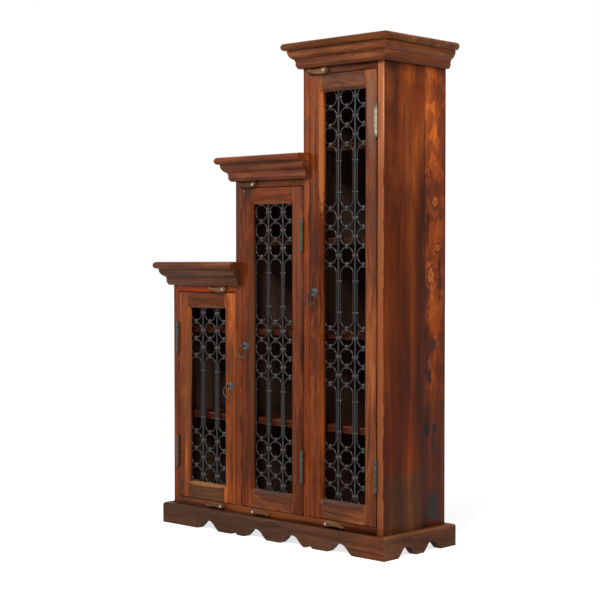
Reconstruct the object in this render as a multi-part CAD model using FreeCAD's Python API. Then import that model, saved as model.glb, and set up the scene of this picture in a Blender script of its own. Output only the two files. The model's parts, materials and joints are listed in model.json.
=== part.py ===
import FreeCAD, Part
import os
from math import cos, radians
from FreeCAD import Vector

# Stepped storage cabinet with three bays, each with its own grilled door.
# The model is laid out with X = 0 at the carcass's left face, Y = 0 at the front face of the
# boards and doors (Y grows towards the back) and Z = 0 at the floor, in millimetres. Each piece
# is then moved so that the origin is at the middle of the bottom of the whole cabinet.

# Carcass boards
board = 18.0
bay_width = 212.0
carcass_depth = 233.0
overall_height = 1200.0
step_rise_share = 13 / 60
back_thickness = 8.0

# Shelves: every bay has them at the same heights, and their pitch is a share of the tall bay's
# clear height
shelf_thickness = 16.0
shelf_pitch_share = 0.2111
shelf_set_back = 26.0

# Plinth, a mitred skirt with a scalloped lower edge
plinth_height = 52.0
plinth_projection = 21.0
plinth_tail = 16.0
plinth_round = 6.0
arch_height = 24.0
notch_height = 9.0
arch_clearance = 3.0
front_arch_shares = (0.2254, 0.450, 0.613, 0.818)
front_notch_shares = (0.351, 0.689)
side_arch_shares = (0.314, 0.664)
front_arch_width_share = 0.104
front_notch_width_share = 0.032
side_arch_width_share = 0.2444
flare_width_share = 0.62
flare_height_share = 0.50
flare_bend_width_share = 0.83
flare_bend_height_share = 0.20

# Cornice: a round-nosed slab over a run of moulding
slab_thickness = 18.0
slab_projection = 39.0
slab_flat = 1.0
cornice_height = 60.0
top_strip = 16.0
ovolo_projection = 28.0
ovolo_flat = 2.0
ovolo_height = 20.5
ovolo_swell_share = 0.72
ovolo_fall_share = 0.60
fascia_projection = 15.5
fascia_hollow = 1.0
fascia_height = 12.5
bead_projection = 13.5
bead_step = 2.5
bead_swell = 0.8

# Doors: two stiles, two rails and an iron grille in a rebate behind them
door_thickness = 20.0
door_gap = 2.0
hinge_gap = 3.0
stile_width = 32.0
top_rail_width = 36.0
bottom_rail_width = 38.0
rebate_width = 12.0
rebate_floor = 12.7
tenon_length = 20.0
tenon_thickness = 6.0
tenon_front = 4.0
tenon_shoulder = 8.0

# Grille
ring_columns = 3
rings_in_group = 3
grille_bar = 5.6
ring_wire = 4.4
lattice_gap = 0.3
outer_bar_tuck = 3.5
end_bar_height = 6.0
clasp_thickness = 8.0
clasp_height = 8.0
clasp_lip = 1.1
crossing_clasp_width = 8.0
collar_height = 6.0
collar_setback = 38.0

# Butt hinges
hinge_length = 78.0
hinge_inset = 117.0
knuckle_radius = 4.0
knuckle_bore = 1.8
knuckle_count = 5
knuckle_gap = 0.3
hinge_stand_off = 0.3
pin_clearance = 0.05
pin_head_radius = 2.6
pin_head_height = 1.5
leaf_thickness = 1.35
leaf_depth = 16.0
leaf_root = 0.6

# Ring pulls
rosette_radius = 11.0
rosette_thickness = 1.8
rosette_boss_radius = 6.5
rosette_boss_height = 2.4
post_radius = 3.0
eye_radius = 4.2
eye_width = 5.0
eye_reach = 12.5
eye_bore = 2.0
pull_ring_radius = 14.0
pull_wire = 1.5

# Turn buttons, which hold the doors shut from the carcass
button_length = 50.0
button_head = 7.5
button_tip = 3.2
button_thickness = 9.0
button_bow = 1.6
button_tip_rise = 3.0
button_round = 2.0
button_seat_gap = 0.3
button_bore = 1.7
button_pin_depth = 12.0
button_pin_head = 3.3
button_pin_head_height = 2.2

# How far one shape runs past another that it cuts
overrun = 5.0

# Driven sizes
bay_count = 3
width = bay_count * bay_width + (bay_count + 1) * board
overall_depth = slab_projection + carcass_depth + plinth_tail
to_origin = Vector(-width / 2, slab_projection - overall_depth / 2, 0)
board_foot = arch_height + arch_clearance
floor_top = plinth_height + board
door_bottom = floor_top + door_gap
door_width = bay_width - hinge_gap - door_gap
opening_width = door_width - 2 * stile_width
column_pitch = (opening_width + 2 * outer_bar_tuck) / ring_columns
ring_outer = (column_pitch - grille_bar) / 2 - lattice_gap
row_pitch = 2 * ring_outer + lattice_gap
hinge_axis_y = -(knuckle_radius + hinge_stand_off)
grille_y = rebate_floor + grille_bar / 2
back_front = carcass_depth - back_thickness


class Bay:
    """One bay, from its place in the row of bays and what its door carries."""

    def __init__(self, name, index, hinge_on_left, ring_groups, shelf_count):
        self.name = name
        self.hinge_on_left = hinge_on_left
        self.ring_groups = ring_groups
        self.shelf_count = shelf_count
        self.left = board + index * (bay_width + board)
        self.right = self.left + bay_width
        self.top = overall_height * (1 - (bay_count - 1 - index) * step_rise_share)
        self.slab_bottom = self.top - slab_thickness
        self.cornice_bottom = self.top - cornice_height
        self.ceiling = self.cornice_bottom - top_strip
        self.door_top = self.ceiling - door_gap
        if hinge_on_left:
            self.door_left = self.left + hinge_gap
            self.hinge_x = self.left + hinge_gap / 2
            self.leaf_side = -1
        else:
            self.door_left = self.left + door_gap
            self.hinge_x = self.right - hinge_gap / 2
            self.leaf_side = 1
        self.door_right = self.door_left + door_width
        self.opening_left = self.door_left + stile_width
        self.opening_right = self.door_right - stile_width
        self.opening_bottom = door_bottom + bottom_rail_width
        self.opening_top = self.door_top - top_rail_width
        self.button_top_z = (self.door_top + self.cornice_bottom) / 2
        self.button_bottom_z = (plinth_height + door_bottom) / 2
        self.hinge_heights = (door_bottom + hinge_inset, self.door_top - hinge_inset)


small = Bay("small", 0, True, 2, 2)
medium = Bay("medium", 1, False, 3, 3)
tall = Bay("tall", 2, False, 4, 4)
bays = (small, medium, tall)
shelf_pitch = shelf_pitch_share * (tall.ceiling - floor_top)

# Where the grille's top crossing lies above the door's opening
grille_rise = {"small": 5.0, "medium": -2.0, "tall": 3.0}

# Height of each ring pull on the middle of the free stile, as a share of the door's height
pull_shares = {"small": 0.5604, "medium": 0.5063, "tall": 0.5114}

# Turn buttons: the pin's distance from the bay's left board as a share of the bay's width, for the
# top and the bottom one, and the side that the tip points to when it is turned clear of the door
top_pin_shares = {"small": 0.816, "medium": 0.236, "tall": 0.255}
bottom_pin_shares = {"small": 0.778, "medium": 0.231, "tall": 0.288}
top_tip_side = {"small": -1, "medium": -1, "tall": -1}
bottom_tip_side = {"small": -1, "medium": 1, "tall": 1}


def box(x0, x1, y0, y1, z0, z1):
    """A box between two values along each axis."""
    return Part.makeBox(x1 - x0, y1 - y0, z1 - z0, Vector(x0, y0, z0))


def prism(edges, along):
    """The solid swept by the flat face inside a closed chain of edges."""
    return Part.Face(Part.Wire(edges)).extrude(along)


def polygon_prism(points, along):
    """A prism over a straight-sided outline."""
    return Part.Face(Part.makePolygon(list(points) + [points[0]])).extrude(along)


def line(start, end):
    return Part.LineSegment(start, end).toShape()


def arc(start, middle, end):
    return Part.Arc(start, middle, end).toShape()


def save(name, shape):
    """Move a piece from the layout to the cabinet's own frame and write its file."""
    moved = shape.copy()
    moved.translate(to_origin)
    moved.exportStep("parts/" + name + ".step")


def join(shapes):
    """One solid from shapes that run into each other."""
    return shapes[0].multiFuse(shapes[1:]).removeSplitter()


# Carcass

def carcass_boards():
    """The four upright boards, the bottom board, the ceilings and the stepped back panel."""
    left_board = box(0, board, 0, carcass_depth, board_foot, small.slab_bottom)
    right_board = box(width - board, width, 0, carcass_depth, board_foot, tall.slab_bottom)
    save("left_side_board", left_board)
    save("right_side_board", right_board)
    for name, lower, upper in (("left_partition", small, medium), ("right_partition", medium, tall)):
        full = box(lower.right, upper.left, 0, carcass_depth, floor_top, upper.slab_bottom)
        behind = box(lower.right - overrun, upper.left + overrun, back_front,
                     carcass_depth + overrun, floor_top - overrun, lower.slab_bottom)
        save(name, full.cut(behind))
    floor = box(board, width - board, 0, back_front, plinth_height, floor_top)
    save("bottom_board", floor.cut(pin_holes([bottom_pin(bay) for bay in bays])))
    for bay in bays:
        ceiling = box(bay.left, bay.right, 0, back_front, bay.ceiling, bay.ceiling + board)
        save(bay.name + "_top_board", ceiling.cut(pin_holes([top_pin(bay)])))
    corners = [(board, board_foot), (width - board, board_foot)]
    for bay in reversed(bays):
        inner_right = width - board if bay is tall else bay.right + board
        corners += [(inner_right, bay.slab_bottom), (bay.left, bay.slab_bottom)]
    outline = [Vector(x, back_front, z) for x, z in corners]
    save("back_panel", polygon_prism(outline, Vector(0, back_thickness, 0)))


def shelf_levels(bay):
    """Heights of the undersides of a bay's shelves."""
    first = floor_top + shelf_pitch - shelf_thickness
    return [first + level * shelf_pitch for level in range(bay.shelf_count)]


def shelves():
    """Each bay's shelves, as separate boards in one piece file."""
    for bay in bays:
        boards = [box(bay.left, bay.right, shelf_set_back, back_front, z, z + shelf_thickness)
                  for z in shelf_levels(bay)]
        save(bay.name + "_shelves", Part.makeCompound(boards))


# Plinth

def scallop(centre, half, height, flat, through):
    """A bell-shaped cutter. flat(a, z) puts a point of the outline, and through is its depth."""
    flare = flare_width_share * half
    shoulder = flare_height_share * height
    bend = flare_bend_width_share * half
    low = flare_bend_height_share * height
    corner_left = flat(centre - half, 0)
    corner_right = flat(centre + half, 0)
    left_shoulder = flat(centre - flare, shoulder)
    right_shoulder = flat(centre + flare, shoulder)
    edges = [arc(corner_left, flat(centre - bend, low), left_shoulder),
             arc(left_shoulder, flat(centre, height), right_shoulder),
             arc(right_shoulder, flat(centre + bend, low), corner_right),
             line(corner_right, flat(centre + half, -overrun)),
             line(flat(centre + half, -overrun), flat(centre - half, -overrun)),
             line(flat(centre - half, -overrun), corner_left)]
    return prism(edges, through)


def plinth_section(depth):
    """Outline of a plinth board's section, rounded at its outer top edge, from (0, 0) outwards."""
    turn = plinth_round * (1 - cos(radians(45)))
    return ((0, 0), (depth, 0), (depth, plinth_height - plinth_round),
            (depth - turn, plinth_height - turn), (depth - plinth_round, plinth_height), (0, plinth_height))


def section_prism(points, place, along):
    """A prism over a plinth section: straight sides and one quarter round."""
    at = [place(out, z) for out, z in points]
    edges = [line(at[0], at[1]), line(at[1], at[2]), arc(at[2], at[3], at[4]),
             line(at[4], at[5]), line(at[5], at[0])]
    return prism(edges, along)


def mitred_board(plan, section, place, along):
    """A plinth board: its mitred plan, raised, and shaped by its section run along it."""
    raised = polygon_prism([Vector(x, y, 0) for x, y in plan], Vector(0, 0, plinth_height))
    return raised.common(section_prism(section, place, along))


def plinth():
    """The four skirt boards, mitred at the corners."""
    left, right = -plinth_projection, width + plinth_projection
    front, back = -plinth_projection, carcass_depth + plinth_tail
    length, depth = right - left, back - front
    section = plinth_section(plinth_projection)
    cut_depth = plinth_projection + 2 * overrun

    front_board = mitred_board([(left, front), (right, front), (width, 0), (0, 0)], section,
                               lambda out, z: Vector(left, -out, z), Vector(length, 0, 0))
    for shares, width_share, height in ((front_arch_shares, front_arch_width_share, arch_height),
                                        (front_notch_shares, front_notch_width_share, notch_height)):
        for share in shares:
            cutter = scallop(left + share * length, width_share * length / 2, height,
                             lambda a, z: Vector(a, front - overrun, z), Vector(0, cut_depth, 0))
            front_board = front_board.cut(cutter)
    save("plinth_front", front_board)

    for name, inner, outer, side in (("plinth_left", 0, left, -1), ("plinth_right", width, right, 1)):
        side_board = mitred_board([(outer, front), (inner, 0), (inner, carcass_depth), (outer, back)],
                                  section, lambda out, z: Vector(inner + side * out, front, z),
                                  Vector(0, depth, 0))
        for share in side_arch_shares:
            cutter = scallop(front + share * depth, side_arch_width_share * depth / 2, arch_height,
                             lambda a, z: Vector(min(inner, outer) - overrun, a, z),
                             Vector(cut_depth, 0, 0))
            side_board = side_board.cut(cutter)
        save(name, side_board)

    save("plinth_back",
         mitred_board([(0, carcass_depth), (width, carcass_depth), (right, back), (left, back)],
                      plinth_section(plinth_tail),
                      lambda out, z: Vector(left, carcass_depth + out, z), Vector(length, 0, 0)))


# Cornices

def nosed_band(bay, left, right, nose_right):
    """A slab with a round nose along its front and left edges, and along the right if asked."""
    low, high = bay.slab_bottom, bay.top
    middle = (low + high) / 2
    nose = (slab_thickness - slab_flat) / 2
    half_flat = slab_flat / 2
    turn = nose * (1 - cos(radians(45)))
    front = -slab_projection

    def nosed(place, far_place):
        """Section with a nose at the place's zero, running to far_place's end."""
        return [line(far_place(low), place(nose, low)),
                arc(place(nose, low), place(turn, low + turn), place(0, middle - half_flat)),
                line(place(0, middle - half_flat), place(0, middle + half_flat)),
                arc(place(0, middle + half_flat), place(turn, high - turn), place(nose, high)),
                line(place(nose, high), far_place(high)),
                line(far_place(high), far_place(low))]

    depth = Vector(0, carcass_depth - front, 0)
    front_edges = nosed(lambda a, z: Vector(left, front + a, z), lambda z: Vector(left, carcass_depth, z))
    left_edges = nosed(lambda a, z: Vector(left + a, front, z), lambda z: Vector(right, front, z))
    slab = prism(front_edges, Vector(right - left, 0, 0)).common(prism(left_edges, depth))
    if nose_right:
        right_edges = nosed(lambda a, z: Vector(right - a, front, z), lambda z: Vector(left, front, z))
        slab = slab.common(prism(right_edges, depth))
    return slab


def moulding_prism(top, place, along):
    """The run of moulding under a slab: a quarter round, a hollow band and two small beads."""
    ovolo_start = top - ovolo_flat
    ovolo_end = top - ovolo_height
    fascia_end = ovolo_end - fascia_height
    bead = (cornice_height - slab_thickness - ovolo_height - fascia_height) / 2
    first_end = fascia_end - bead
    second_end = first_end - bead
    first_out = bead_projection - bead_step
    second_out = first_out - bead_step
    swell = fascia_projection + (ovolo_projection - fascia_projection) * ovolo_swell_share
    swell_height = ovolo_start - (ovolo_height - ovolo_flat) * ovolo_fall_share
    hollow = (fascia_projection + bead_projection) / 2 - fascia_hollow
    first_swell = (bead_projection + first_out) / 2 + bead_swell
    second_swell = (first_out + second_out) / 2 + bead_swell
    edges = [line(place(0, second_end), place(0, top)),
             line(place(0, top), place(ovolo_projection, top)),
             line(place(ovolo_projection, top), place(ovolo_projection, ovolo_start)),
             arc(place(ovolo_projection, ovolo_start), place(swell, swell_height),
                 place(fascia_projection, ovolo_end)),
             arc(place(fascia_projection, ovolo_end), place(hollow, (ovolo_end + fascia_end) / 2),
                 place(bead_projection, fascia_end)),
             arc(place(bead_projection, fascia_end), place(first_swell, (fascia_end + first_end) / 2),
                 place(first_out, first_end)),
             arc(place(first_out, first_end), place(second_swell, (first_end + second_end) / 2),
                 place(second_out, second_end)),
             line(place(second_out, second_end), place(0, second_end))]
    return prism(edges, along)


def cornice(bay, nose_right):
    """A bay's slab and its mouldings, mitred at the corners."""
    face_left = bay.left - board
    face_right = bay.right + board
    slab_left = face_left - slab_projection
    out_left = face_left - ovolo_projection
    out_right = face_right + ovolo_projection
    z = bay.slab_bottom
    if nose_right:
        slab = nosed_band(bay, slab_left, face_right + slab_projection, True)
        front_end = out_right
    else:
        partition = box(bay.right, face_right + overrun, 0, carcass_depth + overrun,
                        z - overrun, bay.top + overrun)
        slab = nosed_band(bay, slab_left, face_right, False).cut(partition)
        front_end = face_right
    save(bay.name + "_top_slab", slab)

    def run(name, plan, place, along):
        """One length of moulding, cut to its mitred plan."""
        hung = polygon_prism([Vector(x, y, z) for x, y in plan],
                             Vector(0, 0, slab_thickness - cornice_height))
        save(bay.name + "_cornice_" + name, hung.common(moulding_prism(z, place, along)))

    side_length = Vector(0, carcass_depth + ovolo_projection, 0)
    run("front",
        [(out_left, -ovolo_projection), (front_end, -ovolo_projection), (face_right, 0), (face_left, 0)],
        lambda out, height: Vector(out_left, -out, height), Vector(out_right - out_left, 0, 0))
    run("left",
        [(out_left, -ovolo_projection), (face_left, 0), (face_left, carcass_depth),
         (out_left, carcass_depth)],
        lambda out, height: Vector(face_left - out, -ovolo_projection, height), side_length)
    if nose_right:
        run("right",
            [(out_right, -ovolo_projection), (out_right, carcass_depth), (face_right, carcass_depth),
             (face_right, 0)],
            lambda out, height: Vector(face_right + out, -ovolo_projection, height), side_length)


# Doors

def door_frame(bay):
    """Two stiles and two tenoned rails, rebated behind for the grille."""
    pocket = box(bay.opening_left - rebate_width, bay.opening_right + rebate_width,
                 rebate_floor, door_thickness + overrun,
                 bay.opening_bottom - rebate_width, bay.opening_top + rebate_width)
    rails = {}
    for name, low, high in (("bottom", door_bottom, bay.opening_bottom),
                            ("top", bay.opening_top, bay.door_top)):
        rail = box(bay.opening_left, bay.opening_right, 0, door_thickness, low, high).cut(pocket)
        tongue = box(bay.opening_left - tenon_length, bay.opening_right + tenon_length, tenon_front,
                     tenon_front + tenon_thickness, low + tenon_shoulder, high - tenon_shoulder)
        rails[name] = (join([rail, tongue]), tongue)
        save(bay.name + "_door_" + name + "_rail", rails[name][0])
    for name, x0, x1 in (("left", bay.door_left, bay.opening_left),
                         ("right", bay.opening_right, bay.door_right)):
        stile = box(x0, x1, 0, door_thickness, door_bottom, bay.door_top).cut(pocket)
        for rail, tongue in rails.values():
            stile = stile.cut(tongue)
        save(bay.name + "_door_" + name + "_stile", stile)


def flat_ring(x, z_low, z_high, outer, thickness):
    """A loop of flat wire: a ring, or a long one with straight sides where z_high is above z_low."""
    front = grille_y - thickness / 2

    def solid(radius):
        bottom, top = Vector(x, front, z_low), Vector(x, front, z_high)
        side = Vector(radius, 0, 0)
        up = Vector(0, 0, radius)
        edges = [arc(top - side, top + up, top + side), arc(bottom + side, bottom - up, bottom - side)]
        if z_high > z_low:
            edges += [line(top + side, bottom + side), line(bottom - side, top - side)]
        return prism(Part.__sortEdges__(edges), Vector(0, thickness, 0))

    return solid(outer).cut(solid(outer - ring_wire))


def grille(bay):
    """Upright bars with columns of rings and long loops between them, bound by clasps and collars."""
    top = bay.opening_top + grille_rise[bay.name]
    bottom = bay.opening_bottom
    middle_x = (bay.opening_left + bay.opening_right) / 2
    ring_rows = bay.ring_groups * rings_in_group
    long_loops = bay.ring_groups - 1
    loop_pitch = (top - bottom - ring_rows * row_pitch) / long_loops
    half_bar = grille_bar / 2
    columns = [middle_x + (index - (ring_columns - 1) / 2) * column_pitch for index in range(ring_columns)]
    bars = [middle_x + (index - ring_columns / 2) * column_pitch for index in range(ring_columns + 1)]
    front, back = grille_y - half_bar, grille_y + half_bar
    pieces = [box(x - half_bar, x + half_bar, front, back, bottom - end_bar_height, top + end_bar_height)
              for x in bars]
    for low in (bottom - end_bar_height, top):
        pieces.append(box(bars[0], bars[-1], front, back, low, low + end_bar_height))

    half_clasp = clasp_thickness / 2
    bound_width = half_bar + lattice_gap + ring_wire + clasp_lip
    inner_bars = bars[1:-1]

    def clasp(x, z, half_width, height):
        pieces.append(box(x - half_width, x + half_width, grille_y - half_clasp, grille_y + half_clasp,
                          z - height / 2, z + height / 2))

    def bind(z, height):
        """Bind the loops to the bars at one height: clasps inside, flat ties at the outer bars."""
        for x in inner_bars:
            clasp(x, z, bound_width, height)
        for x, towards in ((bars[0], 1), (bars[-1], -1)):
            ends = sorted((x, x + towards * (half_bar + lattice_gap + ring_wire)))
            pieces.append(box(ends[0], ends[1], front, back, z - height / 2, z + height / 2))

    def cross(z):
        for x in columns:
            clasp(x, z, crossing_clasp_width / 2, 2 * ring_wire + lattice_gap + 2 * clasp_lip)

    z = top
    for group in range(bay.ring_groups):
        for ring in range(rings_in_group):
            centre = z - row_pitch / 2
            for x in columns:
                pieces.append(flat_ring(x, centre, centre, ring_outer, ring_wire))
            bind(centre, clasp_height)
            z -= row_pitch
            if not (group == bay.ring_groups - 1 and ring == rings_in_group - 1):
                cross(z)
        if group < long_loops:
            loop_ends = (z - loop_pitch + row_pitch / 2, z - row_pitch / 2)
            for x in columns:
                pieces.append(flat_ring(x, loop_ends[0], loop_ends[1], ring_outer, ring_wire))
            bind(z - collar_setback, collar_height)
            bind(z - loop_pitch + collar_setback, collar_height)
            z -= loop_pitch
            cross(z)
    for x in columns:
        for end in (top, bottom):
            pieces.append(box(x - crossing_clasp_width / 2, x + crossing_clasp_width / 2, front, back,
                              end - ring_wire, end + ring_wire))
    save(bay.name + "_door_grille", join(pieces))


# Hinges

def knuckle_span(index, z):
    """Lower and upper height of one knuckle of the hinge centred at z."""
    length = hinge_length / knuckle_count
    low = z - hinge_length / 2 + index * length
    return low + knuckle_gap / 2, low + length - knuckle_gap / 2


def hinge_leaf(bay, z, first, towards):
    """A leaf with every second knuckle, lying on the board or on the stile's edge."""
    axis = Vector(bay.hinge_x, hinge_axis_y, 0)
    left, right = sorted((bay.hinge_x + towards * hinge_gap / 2,
                          bay.hinge_x + towards * (hinge_gap / 2 - leaf_thickness)))
    neck_front = hinge_axis_y + knuckle_bore + leaf_root
    pieces = [box(left, right, 0, leaf_depth, z - hinge_length / 2, z + hinge_length / 2)]
    for index in range(first, knuckle_count, 2):
        low, high = knuckle_span(index, z)
        base = axis + Vector(0, 0, low)
        ring = Part.makeCylinder(knuckle_radius, high - low, base)
        ring = ring.cut(Part.makeCylinder(knuckle_bore, high - low, base))
        pieces.append(ring)
        pieces.append(box(left, right, neck_front, leaf_root, low, high))
    return join(pieces)


def hinges():
    """Six butt hinges: the carcass leaves and pins together, and each door's leaves apart."""
    frame_leaves = []
    pins = []
    for bay in bays:
        door_leaves = []
        for z in bay.hinge_heights:
            frame_leaves.append(hinge_leaf(bay, z, 0, bay.leaf_side))
            door_leaves.append(hinge_leaf(bay, z, 1, -bay.leaf_side))
            low = z - hinge_length / 2
            base = Vector(bay.hinge_x, hinge_axis_y, low)
            shank = Part.makeCylinder(knuckle_bore - pin_clearance, hinge_length, base)
            head = Part.makeCylinder(pin_head_radius, pin_head_height, base + Vector(0, 0, hinge_length))
            foot = Part.makeCylinder(pin_head_radius, pin_head_height, base - Vector(0, 0, pin_head_height))
            pins.append(join([shank, head, foot]))
        save(bay.name + "_door_hinge_leaves", Part.makeCompound(door_leaves))
    save("hinge_frame_leaves", Part.makeCompound(frame_leaves))
    save("hinge_pins", Part.makeCompound(pins))


# Ring pulls

def pull_point(bay):
    """The middle of the eye that a door's ring hangs from."""
    if bay.hinge_on_left:
        x = (bay.opening_right + bay.door_right) / 2
    else:
        x = (bay.door_left + bay.opening_left) / 2
    z = door_bottom + pull_shares[bay.name] * (bay.door_top - door_bottom)
    return Vector(x, -eye_reach, z)


def ring_pull(bay):
    """A rosette with a bored post, and the ring that hangs in it."""
    eye = pull_point(bay)
    at_face = Vector(eye.x, 0, eye.z)
    forward = Vector(0, -1, 0)
    plate = Part.makeCylinder(rosette_radius, rosette_thickness, at_face, forward)
    plate_front = at_face + forward * rosette_thickness
    boss = Part.makeCone(rosette_boss_radius, post_radius, rosette_boss_height, plate_front, forward)
    post = Part.makeCylinder(post_radius, eye_reach - rosette_thickness, plate_front, forward)
    across = Vector(1, 0, 0)
    eye_end = eye - across * (eye_width / 2)
    barrel = Part.makeCylinder(eye_radius, eye_width, eye_end, across)
    bore = Part.makeCylinder(eye_bore, eye_width + 2 * overrun,
                             eye - across * (eye_width / 2 + overrun), across)
    save(bay.name + "_door_pull_plate", join([plate, boss, post, barrel]).cut(bore))
    centre = eye - Vector(0, 0, pull_ring_radius)
    save(bay.name + "_door_pull_ring", Part.makeTorus(pull_ring_radius, pull_wire, centre, Vector(0, 1, 0)))


# Turn buttons

def top_pin(bay):
    return Vector(bay.left + top_pin_shares[bay.name] * bay_width, 0, bay.button_top_z)


def bottom_pin(bay):
    return Vector(bay.left + bottom_pin_shares[bay.name] * bay_width, 0, bay.button_bottom_z)


def pin_holes(places):
    """Cutters for the pins that go into one board's front edge."""
    bores = [Part.makeCylinder(button_bore - pin_clearance, button_pin_depth + overrun,
                               at + Vector(0, -overrun, 0), Vector(0, 1, 0)) for at in places]
    return Part.makeCompound(bores)


def turn_button(at, side, bow_side):
    """A curved wooden leaf on its pin, turned clear of the door, with its front edge rounded."""
    back = -button_seat_gap
    half = button_length / 2
    outer_middle = (button_head + button_tip) / 2 + button_bow
    inner_middle = (button_head + button_tip) / 2 - button_bow

    def outline(inset, height):
        """The leaf's edge, drawn in by an inset at a height above its back face."""
        def spot(along, across):
            return Vector(at.x + side * along, back - height, at.z + bow_side * across)

        head = button_head - inset
        tip = button_tip - inset
        upper, lower = spot(0, -head), spot(0, head)
        tip_low = spot(button_length, tip - button_tip_rise)
        tip_high = spot(button_length, -tip - button_tip_rise)
        return Part.Wire([arc(upper, spot(-head, 0), lower),
                          arc(lower, spot(half, outer_middle - inset), tip_low),
                          arc(tip_low, spot(button_length + tip, -button_tip_rise), tip_high),
                          arc(tip_high, spot(half, inset - inner_middle), upper)])

    turned = radians(45)
    steps = ((0, 0), (0, button_thickness - button_round),
             (button_round * (1 - cos(turned)), button_thickness - button_round * (1 - cos(turned))),
             (button_round, button_thickness))
    leaf = Part.makeLoft([outline(inset, height) for inset, height in steps], True, True)
    bore = Part.makeCylinder(button_bore, button_thickness + 2 * overrun,
                             Vector(at.x, overrun, at.z), Vector(0, -1, 0))
    return leaf.cut(bore)


def turn_buttons():
    """Two turn buttons a bay, each a piece of its own, and their pins together."""
    pins = []
    for bay in bays:
        spots = (("top", top_pin(bay), top_tip_side[bay.name], -1),
                 ("bottom", bottom_pin(bay), bottom_tip_side[bay.name], 1))
        for name, at, side, bow_side in spots:
            save(bay.name + "_turn_button_" + name, turn_button(at, side, bow_side))
            forward = Vector(0, -1, 0)
            reach = 2 * button_seat_gap + button_thickness
            shank = Part.makeCylinder(button_bore - pin_clearance, button_pin_depth + reach,
                                      at + Vector(0, button_pin_depth, 0), forward)
            dome = Part.makeCylinder(button_pin_head, button_pin_head_height, at + forward * reach, forward)
            middle_y = -(reach + button_pin_head_height / 2)
            rim = [edge for edge in dome.Edges if edge.BoundBox.YMax < middle_y]
            dome = dome.makeFillet(button_pin_head_height / 2, rim)
            pins.append(join([shank, dome]))
    save("turn_button_pins", Part.makeCompound(pins))


os.makedirs("parts", exist_ok=True)
carcass_boards()
shelves()
plinth()
for bay in bays:
    cornice(bay, bay is tall)
    door_frame(bay)
    grille(bay)
    ring_pull(bay)
hinges()
turn_buttons()
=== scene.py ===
"""Dresses the stepped storage cabinet: rosewood boards, forged iron grilles, hinges and pulls."""

from __future__ import annotations

import json
import logging
import math
from dataclasses import dataclass, field, replace
from enum import Enum
from functools import partial
from itertools import product

import bmesh
import bpy
from mathutils import Matrix, Vector

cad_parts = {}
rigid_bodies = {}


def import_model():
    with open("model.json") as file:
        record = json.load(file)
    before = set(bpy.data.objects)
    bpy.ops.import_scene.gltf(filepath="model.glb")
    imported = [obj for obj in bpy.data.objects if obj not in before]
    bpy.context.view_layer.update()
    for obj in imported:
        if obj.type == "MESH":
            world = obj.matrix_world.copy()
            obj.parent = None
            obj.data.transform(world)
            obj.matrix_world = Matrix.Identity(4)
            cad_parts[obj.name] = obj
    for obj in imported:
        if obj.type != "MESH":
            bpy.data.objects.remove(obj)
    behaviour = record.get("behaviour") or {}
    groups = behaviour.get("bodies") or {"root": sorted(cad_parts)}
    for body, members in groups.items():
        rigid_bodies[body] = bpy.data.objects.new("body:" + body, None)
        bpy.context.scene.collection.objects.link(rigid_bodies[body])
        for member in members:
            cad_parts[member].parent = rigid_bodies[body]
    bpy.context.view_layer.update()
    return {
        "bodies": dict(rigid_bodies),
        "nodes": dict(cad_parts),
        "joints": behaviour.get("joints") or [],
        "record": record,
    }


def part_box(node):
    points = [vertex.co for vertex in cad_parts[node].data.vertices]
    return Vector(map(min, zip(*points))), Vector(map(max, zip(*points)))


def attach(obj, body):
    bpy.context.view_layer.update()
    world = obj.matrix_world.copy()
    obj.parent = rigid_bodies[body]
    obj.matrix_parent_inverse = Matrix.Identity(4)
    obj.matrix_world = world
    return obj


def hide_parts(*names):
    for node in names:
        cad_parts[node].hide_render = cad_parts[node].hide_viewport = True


LOG = logging.getLogger("cabinet")
MM = 0.001
SAME_PLACE = 0.05 * MM
Colour = tuple[float, float, float]
Point = tuple[float, float, float]
Socket = bpy.types.NodeSocket


class Grain(Enum):
    """Which way a board's fibres run; the value turns that way onto Z."""

    ALONG_X = (0.0, math.pi / 2, 0.0)
    ALONG_Y = (math.pi / 2, 0.0, 0.0)
    ALONG_Z = (0.0, 0.0, 0.0)


class Blend(Enum):
    """How a colour is laid over another; the value is Blender's name for it."""

    COVER = "MIX"
    TINT = "MULTIPLY"


class Part(Enum):
    """What a point of a grille's layout carries."""

    BAR = 0
    RING = 1
    LOOP = 2
    CLASP = 3
    KNOB = 4
    COLLAR = 5
    RAIL = 6
    TIE = 7
    SHORT_TIE = 8


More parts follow.
